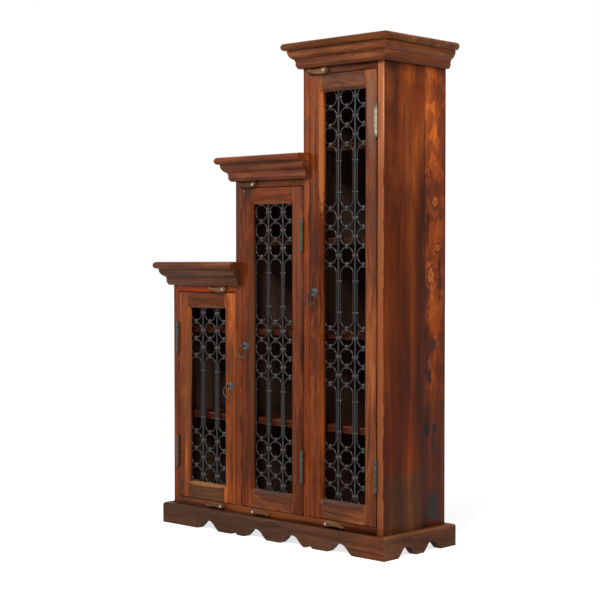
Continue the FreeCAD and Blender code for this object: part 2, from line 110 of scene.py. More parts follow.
class Graph:
    """Adds nodes to a tree and joins them.

    A value that a method takes is a socket or plain numbers.
    """

    def __init__(self, tree: bpy.types.NodeTree) -> None:
        """Start on an empty tree."""
        self.tree = tree
        tree.nodes.clear()

    def add(self, kind: str, inputs: dict | None = None, **settings: object) -> bpy.types.Node:
        """Add one node.

        Args:
            kind: the node's type name.
            inputs: values by input name or number.
            **settings: the node's own properties.

        Returns:
            The new node.
        """
        node = self.tree.nodes.new(kind)
        for name, value in settings.items():
            setattr(node, name, value)
        for key, value in (inputs or {}).items():
            if isinstance(value, Socket):
                self.tree.links.new(value, node.inputs[key])
            else:
                node.inputs[key].default_value = value
        return node

    def get(self, kind: str, inputs: dict | None = None, output: int | str = 0, **settings: object) -> Socket:
        """Add one node and return one of its outputs."""
        return self.add(kind, inputs, **settings).outputs[output]

    def math(self, operation: str, a: object, b: object = 0.0, clamp: bool = False) -> Socket:
        """Join a Math node and return its result."""
        return self.get("ShaderNodeMath", {0: a, 1: b}, operation=operation, use_clamp=clamp)

    def times(self, a: object, b: object) -> Socket:
        """The product of two numbers."""
        return self.math("MULTIPLY", a, b)

    def vector(self, operation: str, a: object, b: object = (0, 0, 0)) -> Socket:
        """Join a Vector Math node and return its vector."""
        return self.get("ShaderNodeVectorMath", {0: a, 1: b}, operation=operation)

    def point(self, x: object = 0.0, y: object = 0.0, z: object = 0.0) -> Socket:
        """A vector from its three parts."""
        return self.get("ShaderNodeCombineXYZ", {0: x, 1: y, 2: z})

    def length(self, vector: object) -> Socket:
        """How long a vector is."""
        return self.get("ShaderNodeVectorMath", {0: vector}, "Value", operation="LENGTH")

    def largest(self, vector: object) -> Socket:
        """The largest of a vector's three parts."""
        parts = self.add("ShaderNodeSeparateXYZ", {0: vector}).outputs
        return self.math("MAXIMUM", self.math("MAXIMUM", parts[0], parts[1]), parts[2])

    def step(self, value: object, low: float, high: float) -> Socket:
        """A smooth step from 0 at low to 1 at high."""
        return self.get("ShaderNodeMapRange", {"Value": value, "From Min": low, "From Max": high},
                        interpolation_type="SMOOTHSTEP")

    def band(self, value: object, middle: float, outer: float, inner: float) -> Socket:
        """1 where a value is nearer to a middle than inner, falling to 0 at outer."""
        return self.step(self.math("ABSOLUTE", self.math("SUBTRACT", value, middle)), outer, inner)

    def noise(self, place: object, scale: float, detail: float, rough: float = 0.5,
              output: int = 0) -> Socket:
        """Noise over a place: its value, or its colour as output 1."""
        values = {"Vector": place, "Scale": scale, "Detail": detail, "Roughness": rough}
        return self.get("ShaderNodeTexNoise", values, output)

    def fibrous(self, place: object, grains: Point, detail: float, rough: float = 0.5) -> Socket:
        """Noise of so many grains to the metre along each axis."""
        return self.noise(self.vector("MULTIPLY", place, grains), 1.0, detail, rough)

    def wander(self, place: object, scale: float, detail: float, reach: object) -> Socket:
        """A vector that wanders about zero, by up to half its reach."""
        rough = self.vector("SUBTRACT", self.noise(place, scale, detail, output=1), (0.5, 0.5, 0.5))
        return self.vector("MULTIPLY", rough, reach)

    def mix(self, factor: object, a: object, b: object, blend: Blend = Blend.COVER) -> Socket:
        """Lay colour b over colour a by a factor."""
        values = {0: factor, 6: opaque(a), 7: opaque(b)}
        return self.get("ShaderNodeMix", values, 2, data_type="RGBA", blend_type=blend.value)

    def ramp(self, value: object, stops: tuple[tuple[float, Colour], ...]) -> Socket:
        """Run a value through a colour ramp.

        Args:
            value: what picks the place on the ramp.
            stops: pairs of a place and a colour, in order.

        Returns:
            The ramp's colour.
        """
        node = self.add("ShaderNodeValToRGB", {0: value})
        elements = node.color_ramp.elements
        while len(elements) < len(stops):
            elements.new(0.5)
        for element, (place, colour) in zip(elements, stops):
            element.position = place
            element.color = opaque(colour)
        return node.outputs[0]

    def patched(self, place: object, colour: object, patch: Patch) -> Socket:
        """Lay one patch over a colour.

        Args:
            place: where the surface is, in the cabinet's frame.
            colour: what is under the patch.
            patch: what is laid over it.

        Returns:
            The new colour.
        """
        away = self.vector("DIVIDE", self.vector("SUBTRACT", place, patch.at), patch.size)
        grains = min(160.0, max(42.0, 0.9 / min(patch.size)))
        away = self.vector("ADD", away, self.wander(place, grains, 3.0, (patch.ragged,) * 3))
        distance = self.largest(self.vector("ABSOLUTE", away)) if patch.square else self.length(away)
        amount = self.times(self.step(distance, 1.0, patch.edge), patch.strength)
        return self.mix(amount, colour, patch.colour, patch.blend)

    def open_rays(self) -> Socket:
        """1 for what the camera sees, itself or by way of mirrors and glass."""
        rays = self.add("ShaderNodeLightPath").outputs
        mirrored = self.math("MAXIMUM", rays["Is Camera Ray"], rays["Is Glossy Ray"])
        return self.math("MAXIMUM", mirrored, rays["Is Transmission Ray"])


def opaque(value: object) -> object:
    """A colour with full alpha, or a socket as it is."""
    return (*value, 1.0) if isinstance(value, tuple) else value


def new_material(name: str) -> tuple[bpy.types.Material, Graph]:
    """An empty node material and the graph that fills it."""
    material = bpy.data.materials.new(name)
    material.use_nodes = True
    return material, Graph(material.node_tree)


@dataclass(frozen=True)
class Patch:
    """A soft-edged place of another colour on a board: a knot, a discoloured spot, a pale streak, a painted
    highlight or a painted shade.

    Attributes:
        at: middle of the place, in the cabinet's frame.
        size: half its extent along each axis.
        colour: what it is mixed with.
        strength: how much, at the middle.
        edge: where the fading starts, as a share of the size.
        ragged: how uneven its outline is.
        blend: whether it covers the figure under it or tints it.
        square: whether it is a box instead of an ellipse.
    """

    at: Point
    size: Point
    colour: Colour
    strength: float = 0.8
    edge: float = 0.3
    ragged: float = 0.7
    blend: Blend = Blend.COVER
    square: bool = False


@dataclass(frozen=True)
class Recess:
    """A box in the cabinet's frame, such as a compartment whose walls get a painted shade.

    Attributes:
        middle: its middle.
        half: half its extent along each axis.
    """

    middle: Point
    half: Point


@dataclass(frozen=True)
class Eye:
    """A knot that the fibres bend round.

    Attributes:
        at: its middle, in the cabinet's frame.
        size: half its extent along each axis.
        glow: how strong its amber middle and dark outline are.
    """

    at: Point
    size: Point
    glow: float = 1.0


@dataclass(frozen=True)
class Board:
    """How one wooden node is cut and stained.

    Attributes:
        node: the node of the frame that it stands for.
        grain: which way its fibres run.
        seed: which part of the log it comes from.
        tint: what the finish's colour is multiplied by.
        patches: places of another colour.
        eyes: knots that its fibres bend round.
        rounding: radius of its edges, in millimetres.
        sharp: planes whose edges stay sharp because they are glued, each an axis and a place in millimetres.
        curly: a glued strip of it with curly fibres.
    """

    node: str
    grain: Grain
    seed: int
    tint: Colour = (1.0, 1.0, 1.0)
    patches: tuple[Patch, ...] = ()
    eyes: tuple[Eye, ...] = ()
    rounding: float = 1.2
    sharp: tuple[tuple[int, float], ...] = ()
    curly: Recess | None = None

    def place_in_log(self) -> Point:
        """How far its fibres lie from the log's middle, in metres."""
        return tuple(self.seed * stride % 97 * 0.031 for stride in (17, 29, 43))


@dataclass(frozen=True)
class WoodFinish:
    """Lacquered rosewood with dark and honey streaks.

    Attributes:
        slot: the record's material slot.
        dark: colour of the darkest streaks.
        brown: the deep ground colour.
        warm: the usual colour.
        honey: colour of the palest streaks.
        amber: colour of the middle of a knot.
        wear_and_highlight: colour of rubbed edges, which also stands for painted highlights along them.
        contrast: how far the streaks part from the ground.
        roughness: of the lacquer.
        gloss: the lacquer's specular level.
        sheen: colour of the lacquer's reflections.
        knots: how dark the knots are.
        shaded_recesses: compartments whose insides get a painted shade.
        colouring: colour of that painted shade, a dull tone standing for the dim light inside.
        streaks: how strong the narrow streaks are.
        flame: what the pale flames of a curly strip are multiplied by.
    """

    slot: str
    dark: Colour = (0.026, 0.009, 0.006)
    brown: Colour = (0.067, 0.0145, 0.0052)
    warm: Colour = (0.132, 0.0262, 0.0060)
    honey: Colour = (0.270, 0.0650, 0.0120)
    amber: Colour = (0.480, 0.130, 0.022)
    # Pale edges: partly wear, partly painted highlight.
    wear_and_highlight: Colour = (0.340, 0.125, 0.045)
    contrast: float = 1.0
    roughness: float = 0.36
    gloss: float = 0.12
    sheen: Colour = (1.0, 0.70, 0.48)
    knots: float = 0.8
    shaded_recesses: tuple[Recess, ...] = ()
    colouring: Colour = (0.090, 0.060, 0.044)
    streaks: float = 1.0
    flame: Colour = (1.70, 1.75, 1.30)

    def material(self, board: Board) -> bpy.types.Material:
        """Make the board's own material.

        Args:
            board: the board that it is for.

        Returns:
            A node material on Object coordinates.
        """
        material, g = new_material(f"{self.slot}_{board.node}")
        place = g.get("ShaderNodeTexCoord", output="Object")
        turned = g.get("ShaderNodeMapping", {"Vector": place, "Location": board.place_in_log(),
                                             "Rotation": board.grain.value})
        knot, swirl = self.knot_masks(g, turned)
        eyes = [(self.eye_distance(g, place, eye), eye.glow) for eye in board.eyes]
        bent = self.bent_fibres(g, turned, [g.times(swirl, 0.024)]
                                + [g.times(g.step(distance, 3.2, 0.0), 0.030) for distance, _ in eyes])
        curly = self.inside(g, place, board.curly) if board.curly else 0.0
        if board.curly:
            bent = g.vector("ADD", bent, self.curl(g, turned, curly))
        figure, pores = self.figure(g, bent, turned), self.pores(g, bent)
        colour = self.streaked(g, bent, figure, curly)
        for mark, strength in ((pores, 0.35), (knot, self.knots)):
            colour = g.mix(g.times(mark, strength), colour, self.dark)
        for patch in board.patches:
            colour = g.patched(place, colour, patch)
        for distance, glow in eyes:
            colour = g.mix(g.times(g.band(distance, 0.70, 0.50, 0.10), 0.80 * glow), colour, self.amber)
            colour = g.mix(g.times(g.band(distance, 1.45, 0.50, 0.05), 0.50 * glow), colour, self.dark)
        colour = self.rubbed_and_highlit(g, place, g.mix(1.0, colour, board.tint, Blend.TINT))
        self.lacquer(g, self.shaded_in_recesses(g, place, colour, figure, pores), figure, pores)
        return material

    def knot_masks(self, g: Graph, place: Socket) -> list[Socket]:
        """Sparse knots, and the wider place round each where the fibres bend.

        Args:
            g: the material's graph.
            place: where the surface is in the log.

        Returns:
            The mask of the knots and that of the places round them.
        """
        stretched = g.vector("MULTIPLY", place, (9.0, 9.0, 4.2))
        cells = g.add("ShaderNodeTexVoronoi", {"Vector": stretched, "Scale": 1.0, "Randomness": 1.0}).outputs
        chosen = g.step(g.get("ShaderNodeSeparateColor", {0: cells["Color"]}), 0.66, 0.70)
        return [g.times(g.step(cells["Distance"], outer, inner), chosen)
                for outer, inner in ((0.085, 0.03), (0.45, 0.0))]

    def bent_fibres(self, g: Graph, place: Socket, pushes: list[Socket]) -> Socket:
        """Let the fibres wander and part round the knots.

        Args:
            g: the material's graph.
            place: where the surface is in the log.
            pushes: how far each kind of knot pushes the fibres aside.

        Returns:
            The place that the fibres there come from.
        """
        bent = place
        for grains, reach in (((5.0, 5.0, 1.9), 0.070), ((26.0, 26.0, 9.0), 0.010)):
            stretched = g.vector("MULTIPLY", place, grains)
            bent = g.vector("ADD", bent, g.wander(stretched, 1.0, 2.0, (reach, reach, 0.0)))
        for push in pushes:
            bent = g.vector("ADD", bent, g.point(push, push))
        return bent

    def eye_distance(self, g: Graph, place: Socket, eye: Eye) -> Socket:
        """How far a place is from a knot's middle, in half sizes of its uneven outline."""
        away = g.vector("DIVIDE", g.vector("SUBTRACT", place, eye.at), eye.size)
        return g.length(g.vector("ADD", away, g.wander(place, 130.0, 2.0, (2.0, 2.0, 2.0))))

    def curl(self, g: Graph, place: Socket, where: Socket) -> Socket:
        """How far curly fibres wander, where there are any."""
        stretched = g.vector("MULTIPLY", place, (26.0, 26.0, 17.0))
        return g.vector("MULTIPLY", g.wander(stretched, 1.0, 2.0, (0.055, 0.055, 0.0)), where)

    def figure(self, g: Graph, bent: Socket, place: Socket) -> Socket:
        """Add broad, narrow and fine streaks to slow clouds.

        Args:
            g: the material's graph.
            bent: the place that the fibres come from.
            place: where the surface is in the log.

        Returns:
            How light the wood is, from 0 to 1.
        """
        layers = ((g.fibrous(bent, (24.0, 24.0, 0.8), 2.0), 0.9),
                  (g.fibrous(bent, (85.0, 85.0, 1.8), 3.0, 0.55), 0.6 * self.streaks),
                  (g.fibrous(bent, (300.0, 300.0, 8.0), 3.0, 0.6), 0.55 * self.streaks),
                  (g.fibrous(place, (6.0, 6.0, 3.0), 3.0), 0.75))
        total = 0.0
        for layer, weight in layers:
            total = g.math("ADD", g.times(layer, weight), total)
        mean = sum(weight for _, weight in layers) / 2
        return g.math("ADD", g.times(g.math("SUBTRACT", total, mean), 1.35 * self.contrast), 0.55, True)

    def veins(self, g: Graph, bent: Socket) -> Socket:
        """Thin dark growth lines, which come and go along the board."""
        line = g.band(g.fibrous(bent, (34.0, 34.0, 1.0), 1.0), 0.5, 0.022, 0.004)
        return g.times(line, g.step(g.fibrous(bent, (9.0, 9.0, 3.0), 1.0), 0.46, 0.62))

    def pores(self, g: Graph, bent: Socket) -> Socket:
        """Short dark pores along the fibres."""
        return g.step(g.fibrous(bent, (900.0, 900.0, 42.0), 1.0), 0.60, 0.72)

    def inside(self, g: Graph, place: Socket, recess: Recess) -> Socket:
        """1 within a compartment and 0 outside it."""
        away = g.vector("ABSOLUTE", g.vector("SUBTRACT", place, recess.middle))
        return g.step(g.largest(g.vector("SUBTRACT", away, recess.half)), 0.002, 0.0)

    def streaked(self, g: Graph, bent: Socket, figure: Socket, curly: Socket | float) -> Socket:
        """Colour the figure, its growth lines and the flames of a curly strip.

        Args:
            g: the material's graph.
            bent: the place that the fibres come from.
            figure: how light the wood is.
            curly: 1 in the curly strip, or the number 0 on a board with none.

        Returns:
            The bare wood's colour.
        """
        colour = g.ramp(figure, ((0.05, self.dark), (0.32, self.brown), (0.60, self.warm),
                                 (0.95, self.honey)))
        lines = g.math("ADD", g.times(curly, 0.5), 0.62 * self.streaks)
        colour = g.mix(g.times(self.veins(g, bent), lines), colour, self.dark)
        if isinstance(curly, Socket):
            flame = g.step(g.fibrous(bent, (34.0, 34.0, 20.0), 2.0), 0.47, 0.60)
            colour = g.mix(g.times(flame, curly), colour, self.flame, Blend.TINT)
        return colour

    def rubbed_and_highlit(self, g: Graph, place: Socket, colour: Socket) -> Socket:
        """Pale the colour unevenly where a mesh has the attribute named edge: partly wear, partly a painted
        highlight along the rounded edges.
        """
        edges = g.get("ShaderNodeAttribute", output="Fac", attribute_name="edge")
        uneven = g.step(g.noise(place, 23.0, 3.0), 0.38, 0.62)
        return g.mix(g.times(edges, g.times(uneven, 0.45)), colour, self.wear_and_highlight)

    def shaded_in_recesses(self, g: Graph, place: Socket, colour: Socket, figure: Socket, pores: Socket) -> Socket:
        """Paint shade into the wood in its recesses, a dull tone standing for the dim light there, so that
        its figure still shows.

        Args:
            g: the material's graph.
            place: where the surface is, in the cabinet's frame.
            colour: the wood's colour.
            figure: how light the wood is.
            pores: where its pores are.

        Returns:
            The new colour.
        """
        # Painted shade: a dull tone, paler on light figure and darker in the pores.
        pale, deep = (tuple(share * part for part in self.colouring) for share in (1.35, 0.55))
        colouring = g.mix(pores, g.mix(figure, deep, pale), deep)
        for recess in self.shaded_recesses:
            colour = g.mix(g.times(self.inside(g, place, recess), 0.8), colour, colouring)
        return colour

    def lacquer(self, g: Graph, colour: Socket, figure: Socket, pores: Socket) -> None:
        """End the material with a thin lacquer that sinks into the pores.

        Args:
            g: the material's graph.
            colour: the wood's colour.
            figure: how light the wood is.
            pores: where its pores are.
        """
        shine = g.get("ShaderNodeMapRange", {"Value": figure, "To Min": self.roughness + 0.10,
                                             "To Max": self.roughness - 0.05})
        height = g.math("SUBTRACT", g.times(figure, 0.35), pores)
        bump = g.get("ShaderNodeBump", {"Strength": 0.25, "Distance": 0.0004, "Height": height})
        shader = g.get("ShaderNodeBsdfPrincipled", {
            "Base Color": colour, "Roughness": shine, "Normal": bump, "Specular IOR Level": self.gloss,
            "IOR": 1.5, "Specular Tint": opaque(self.sheen)})
        g.add("ShaderNodeOutputMaterial", {"Surface": shader})


@dataclass(frozen=True)
class MetalFinish:
    """Worked metal: forged, patinated or rubbed bright.

    Attributes:
        slot: the record's material slot.
        ground: the usual colour.
        wear_and_highlight: the colour where it is rubbed, which on the grille's pads also stands for a
            painted highlight.
        metallic: share of bare metal.
        roughness: of the ground.
        wear: how much of it is rubbed.
        grit: size of the hammering, in grains to the metre.
        coat: weight of wax or lacquer.
        patches: places of another colour.
    """

    slot: str
    ground: Colour
    wear_and_highlight: Colour
    metallic: float
    roughness: float
    wear: float = 0.3
    grit: float = 180.0
    coat: float = 0.0
    patches: tuple[Patch, ...] = ()

    def material(self, name: str) -> bpy.types.Material:
        """Make the finish's material, brighter where a mesh has the attribute named wear_and_highlight:
        rubbed metal, and on the pads partly a painted highlight.

        Args:
            name: what the material is for.

        Returns:
            A node material on Object coordinates.
        """
        material, g = new_material(f"{self.slot}_{name}")
        place = g.get("ShaderNodeTexCoord", output="Object")
        hammered = g.noise(place, self.grit, 3.0)
        cloudy = g.step(g.noise(place, self.grit * 0.12, 4.0, 0.6), 0.45, 0.75)
        # Rubbed places, partly painted highlight, pale the metal.
        rubbed_and_highlit = g.get("ShaderNodeAttribute", output="Fac", attribute_name="wear_and_highlight")
        amount = g.math("ADD", g.times(cloudy, self.wear), g.times(rubbed_and_highlit, 0.6), True)
        colour = g.mix(amount, self.ground, self.wear_and_highlight)
        colour = g.mix(g.step(hammered, 0.55, 0.35), colour, (0.35, 0.33, 0.32), Blend.TINT)
        for patch in self.patches:
            colour = g.patched(place, colour, patch)
        shine = g.math("ADD", g.times(hammered, 0.22), self.roughness - 0.11)
        bump = g.get("ShaderNodeBump", {"Strength": 0.35, "Distance": 0.0005, "Height": hammered})
        shader = g.get("ShaderNodeBsdfPrincipled", {
            "Base Color": colour, "Roughness": shine, "Normal": bump, "Metallic": self.metallic,
            "Coat Weight": self.coat, "Coat Roughness": 0.25})
        g.add("ShaderNodeOutputMaterial", {"Surface": shader})
        return material


# The compartments and the space under the floor, whose insides get a painted shade.
BAY_STEP, BAY_FLOOR = 0.230, 0.0695
BAYS = tuple(Recess((BAY_STEP * (bay - 1), 0.0125, BAY_FLOOR + half), (0.1065, 0.1125, half))
             for bay, half in enumerate((0.2675, 0.3975, 0.5275)))
UNDER_FLOOR = Recess((0.0, 0.009, 0.0), (0.3722, 0.1322, 0.0265))

# Inside the compartments the carcass boards get a painted shade.
CARCASS_WOOD = WoodFinish("carcass_wood", shaded_recesses=BAYS)
SIDE_WOOD = replace(CARCASS_WOOD, streaks=0.45, contrast=1.1, gloss=0.05)
DOOR_WOOD = WoodFinish("door_wood", warm=(0.135, 0.0310, 0.0090), honey=(0.285, 0.0770, 0.0185), contrast=1.3)
CORNICE_WOOD = WoodFinish("cornice_wood", warm=(0.120, 0.0285, 0.0095), honey=(0.250, 0.0740, 0.0210),
                          contrast=1.1, roughness=0.34)
# Within the arches and under the floor the skirt gets a painted shade.
PLINTH_WOOD = WoodFinish("plinth_wood", brown=(0.050, 0.0155, 0.0085), warm=(0.085, 0.0245, 0.0120),
                         honey=(0.150, 0.0460, 0.0200), contrast=0.9, roughness=0.5, gloss=0.04,
                         shaded_recesses=(UNDER_FLOOR,), colouring=(0.035, 0.014, 0.008))
# Darker than the carcass wood: painted shade on the shelves, which stand inside the compartments behind the
# grilles.
SHADED_SHELF_WOOD = WoodFinish("shelf_wood", brown=(0.032, 0.0076, 0.0046), warm=(0.050, 0.0120, 0.0066),
                        honey=(0.080, 0.0210, 0.0100), roughness=0.5, gloss=0.06)
# Inside the compartments the back gets a painted shade, paler and greyer than its bare wood.
BACK_WOOD = WoodFinish("back_wood", brown=(0.050, 0.018, 0.010), warm=(0.090, 0.030, 0.015),
                       honey=(0.150, 0.052, 0.024), contrast=0.8, roughness=0.6, gloss=0.1,
                       shaded_recesses=BAYS, colouring=(0.120, 0.084, 0.066))
BUTTON_WOOD = WoodFinish("button_wood", brown=(0.070, 0.030, 0.013), warm=(0.135, 0.060, 0.025),
                         honey=(0.250, 0.130, 0.055), contrast=0.8, roughness=0.4, wear_and_highlight=(0.30, 0.19, 0.10))

GRILLE_IRON = MetalFinish("grille_iron", (0.0090, 0.0070, 0.0058), (0.066, 0.052, 0.043), 0.48, 0.30, 0.06)
HINGE_IRON = MetalFinish("hinge_iron", (0.036, 0.036, 0.024), (0.110, 0.105, 0.080), 0.4, 0.45)
TALL_HINGE_IRON = replace(HINGE_IRON, patches=(
    Patch((0.334, -0.108, 1.002), (0.030, 0.030, 0.044), (0.270, 0.235, 0.165), 0.85, 0.55, 1.1),))
NAIL_IRON = MetalFinish("pull_iron", (0.060, 0.060, 0.050), (0.200, 0.195, 0.170), 0.3, 0.45, 0.4)
PULL_IRON = MetalFinish("pull_iron", (0.022, 0.026, 0.025), (0.150, 0.158, 0.160), 0.5, 0.24, 0.2, coat=0.4)
RING_IRON = MetalFinish("pull_iron", (0.018, 0.017, 0.015), (0.090, 0.084, 0.075), 0.4, 0.38, 0.2, coat=0.1)
PIN_STEEL = MetalFinish("pin_steel", (0.400, 0.320, 0.260), (0.620, 0.540, 0.460), 0.4, 0.42, 0.5, 420.0)


def own_mesh(piece: bpy.types.Object) -> None:
    """Turn a piece's modifiers into its plain mesh."""
    graph = bpy.context.evaluated_depsgraph_get()
    made = bpy.data.meshes.new_from_object(piece.evaluated_get(graph), preserve_all_data_layers=True,
                                           depsgraph=graph)
    piece.modifiers.clear()
    piece.data = made


def new_piece(name: str, mesh: bpy.types.Mesh) -> bpy.types.Object:
    """Put a mesh into the scene as an object at the origin."""
    piece = bpy.data.objects.new(name, mesh)
    bpy.context.collection.objects.link(piece)
    return piece


def written(form: bmesh.types.BMesh, name: str) -> bpy.types.Mesh:
    """Write a form to a new mesh, and free it."""
    mesh = bpy.data.meshes.new(name)
    form.to_mesh(mesh)
    form.free()
    return mesh


def bridge(form: bmesh.types.BMesh, one: list, two: list) -> None:
    """Join two closed rows of corners by a band of faces."""
    for spot, corner in enumerate(one):
        after = (spot + 1) % len(one)
        form.faces.new((corner, one[after], two[after], two[spot]))


def settle(piece: bpy.types.Object, body: str, nodes: tuple[str, ...] = ()) -> None:
    """Let a finished piece ride on its body, and stand for nodes if it does.

    Args:
        piece: the finished object, at the origin.
        body: the body it moves with.
        nodes: the frame's nodes that it stands for.
    """
    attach(piece, body)
    if nodes:
        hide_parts(*nodes)
    LOG.info("%s rides on %s, %d faces", piece.name, body, len(piece.data.polygons))


def shade(mesh: bpy.types.Mesh, angle: float = 35.0) -> None:
    """Smooth shading, but for edges sharper than an angle in degrees."""
    mesh.shade_smooth()
    mesh.set_sharp_from_angle(angle=math.radians(angle))


@dataclass(frozen=True)
class Fitting:
    """How a copy of a node is fitted before its edges are rounded.

    Attributes:
        cutter: a closed shape to cut away.
        moves: faces moved along an axis, each the axis and the old and new place in millimetres.
        sharp: planes whose edges stay sharp, each an axis and a place in millimetres.
    """

    cutter: bpy.types.Object | None = None
    moves: tuple[tuple[int, float, float], ...] = ()
    sharp: tuple[tuple[int, float], ...] = ()

    def move(self, form: bmesh.types.BMesh) -> None:
        """Move the corners that lie on the named faces."""
        for corner, (axis, old, new) in product(form.verts, self.moves):
            if abs(corner.co[axis] - old * MM) < SAME_PLACE:
                corner.co[axis] = new * MM

    def weigh(self, form: bmesh.types.BMesh, angle: float) -> None:
        """Mark the edges to round: sharper than an angle, and in none of the sharp planes."""
        layer = form.edges.layers.float.new("bevel_weight_edge")
        for edge in form.edges:
            glued = any(all(abs(corner.co[axis] - place * MM) < SAME_PLACE for corner in edge.verts)
                        for axis, place in self.sharp)
            edge[layer] = float(edge.calc_face_angle(0.0) > angle and not glued)


def planed_copy(node: bpy.types.Object, rounding: float, segments: int,
                fitting: Fitting = Fitting()) -> bpy.types.Object:
    """Copy a node with its faces joined and its edges rounded.

    Args:
        node: the frame's own object, which stays as it is.
        rounding: radius of the edges, in millimetres; zero leaves them.
        segments: faces across each rounded edge.
        fitting: what is done to it first.

    Returns:
        The copy, with a plain mesh whose rounded edges carry the attribute named edge.
    """
    angle = math.radians(32)
    form = bmesh.new()
    form.from_mesh(node.data)
    bmesh.ops.remove_doubles(form, verts=form.verts, dist=0.01 * MM)
    bmesh.ops.dissolve_limit(form, angle_limit=math.radians(0.5), verts=form.verts, edges=form.edges)
    bmesh.ops.recalc_face_normals(form, faces=form.faces)
    fitting.move(form)
    if fitting.sharp:
        fitting.weigh(form, angle)
    mesh = written(form, node.name + "_finished")
    for _ in ("faces", "rounded edges"):
        mesh.materials.append(None)
    piece = new_piece(mesh.name, mesh)
    if fitting.cutter:
        cut = piece.modifiers.new("Cut", "BOOLEAN")
        cut.operation = "DIFFERENCE"
        cut.solver = "EXACT"
        cut.object = fitting.cutter
    if rounding > 0:
        mesh.shade_smooth()
        bevel = piece.modifiers.new("Rounded edges", "BEVEL")
        bevel.width = rounding * MM
        bevel.segments = segments
        bevel.limit_method = "WEIGHT" if fitting.sharp else "ANGLE"
        bevel.angle_limit = angle
        bevel.use_clamp_overlap = True
        bevel.harden_normals = True
        # Rounded edges are marked for the pale edge colour: wear and painted highlight.
        bevel.material = 1
        own_mesh(piece)
    mark_edges(piece.data)
    return piece


def mark_edges(mesh: bpy.types.Mesh) -> None:
    """Turn the second material's faces into the attribute named edge, and drop both materials."""
    marks = [float(face.material_index == 1) for face in mesh.polygons]
    mesh.attributes.new("edge", "FLOAT", "FACE").data.foreach_set("value", marks)
    for face in mesh.polygons:
        face.material_index = 0
    mesh.materials.clear()


def dress_board(frame: dict, board: Board, finish: WoodFinish, body: str,
                fitting: Fitting | None = None) -> bpy.types.Object:
    """Round, colour and place one board.

    Args:
        board: the board.
        finish: its wood.
        body: the body it moves with.
        fitting: what is done to it first, if not just its sharp planes.

    Returns:
        The finished piece.
    """
    piece = planed_copy(frame["nodes"][board.node], board.rounding, 3, fitting or Fitting(sharp=board.sharp))
    piece.data.materials.append(finish.material(board))
    settle(piece, body, (board.node,))
    return piece


def dress_metal(frame: dict, node: str, finish: MetalFinish, body: str, rounding: float = 0.4) -> None:
    """Round, finish and place one metal node, in the same way as a board.

    Args:
        node: its name.
        finish: its metal.
        body: the body it moves with.
        rounding: radius of its edges, in millimetres.
    """
    piece = planed_copy(frame["nodes"][node], rounding, 2)
    if rounding == 0:
        shade(piece.data)
    piece.data.materials.append(finish.material(node))
    settle(piece, body, (node,))


def side_tint(y: float, z: float, half_y: float, half_z: float, colour: Colour, strength: float = 0.9,
              edge: float = 0.4, ragged: float = 0.5, square: bool = False, depth: float = 0.03,
              blend: Blend = Blend.TINT) -> Patch:
    """A place on the right side's outer face.

    Args:
        y: its middle from front to back.
        z: its height.
        half_y: half its width.
        half_z: half its height.
        colour: its tint, or its colour where it covers the wood.
        strength: how much, at the middle.
        edge: where the fading starts, as a share of the size.
        ragged: how uneven its outline is.
        square: whether it is a box instead of an ellipse.
        depth: how far it reaches into the board.
        blend: whether it covers the figure or tints it.

    Returns:
        The patch.
    """
    return Patch((0.354, y, z), (depth, half_y, half_z), colour, strength, edge, ragged, blend, square)


def border_shading(x: float, z: float, half_x: float, half_z: float, colour: Colour, strength: float = 0.85,
                edge: float = 0.6, ragged: float = 0.4) -> Patch:
    """Painted light and shade along the sloping border of a door's opening, lighter or darker by how the
    light falls on that slope.

    Args:
        x: its middle from left to right.
        z: its height.
        half_x: half its width.
        half_z: half its height.
        colour: its colour.
        strength: how much, at the middle.
        edge: where the fading starts, as a share of the size.
        ragged: how uneven its outline is.

    Returns:
        The patch.
    """
    return Patch((x, -0.102, z), (half_x, 0.014, half_z), colour, strength, edge, ragged)


ALONG_X, ALONG_Y, ALONG_Z = Grain
side_mark = partial(side_tint, depth=0.02, blend=Blend.COVER)
smooth_board = partial(Board, rounding=0.0)
skirt_board = partial(Board, rounding=1.0)
skirt_tint = partial(Patch, strength=1.0, edge=0.2, ragged=0.5, blend=Blend.TINT)
DARK_LINE = (0.50, 0.42, 0.42)

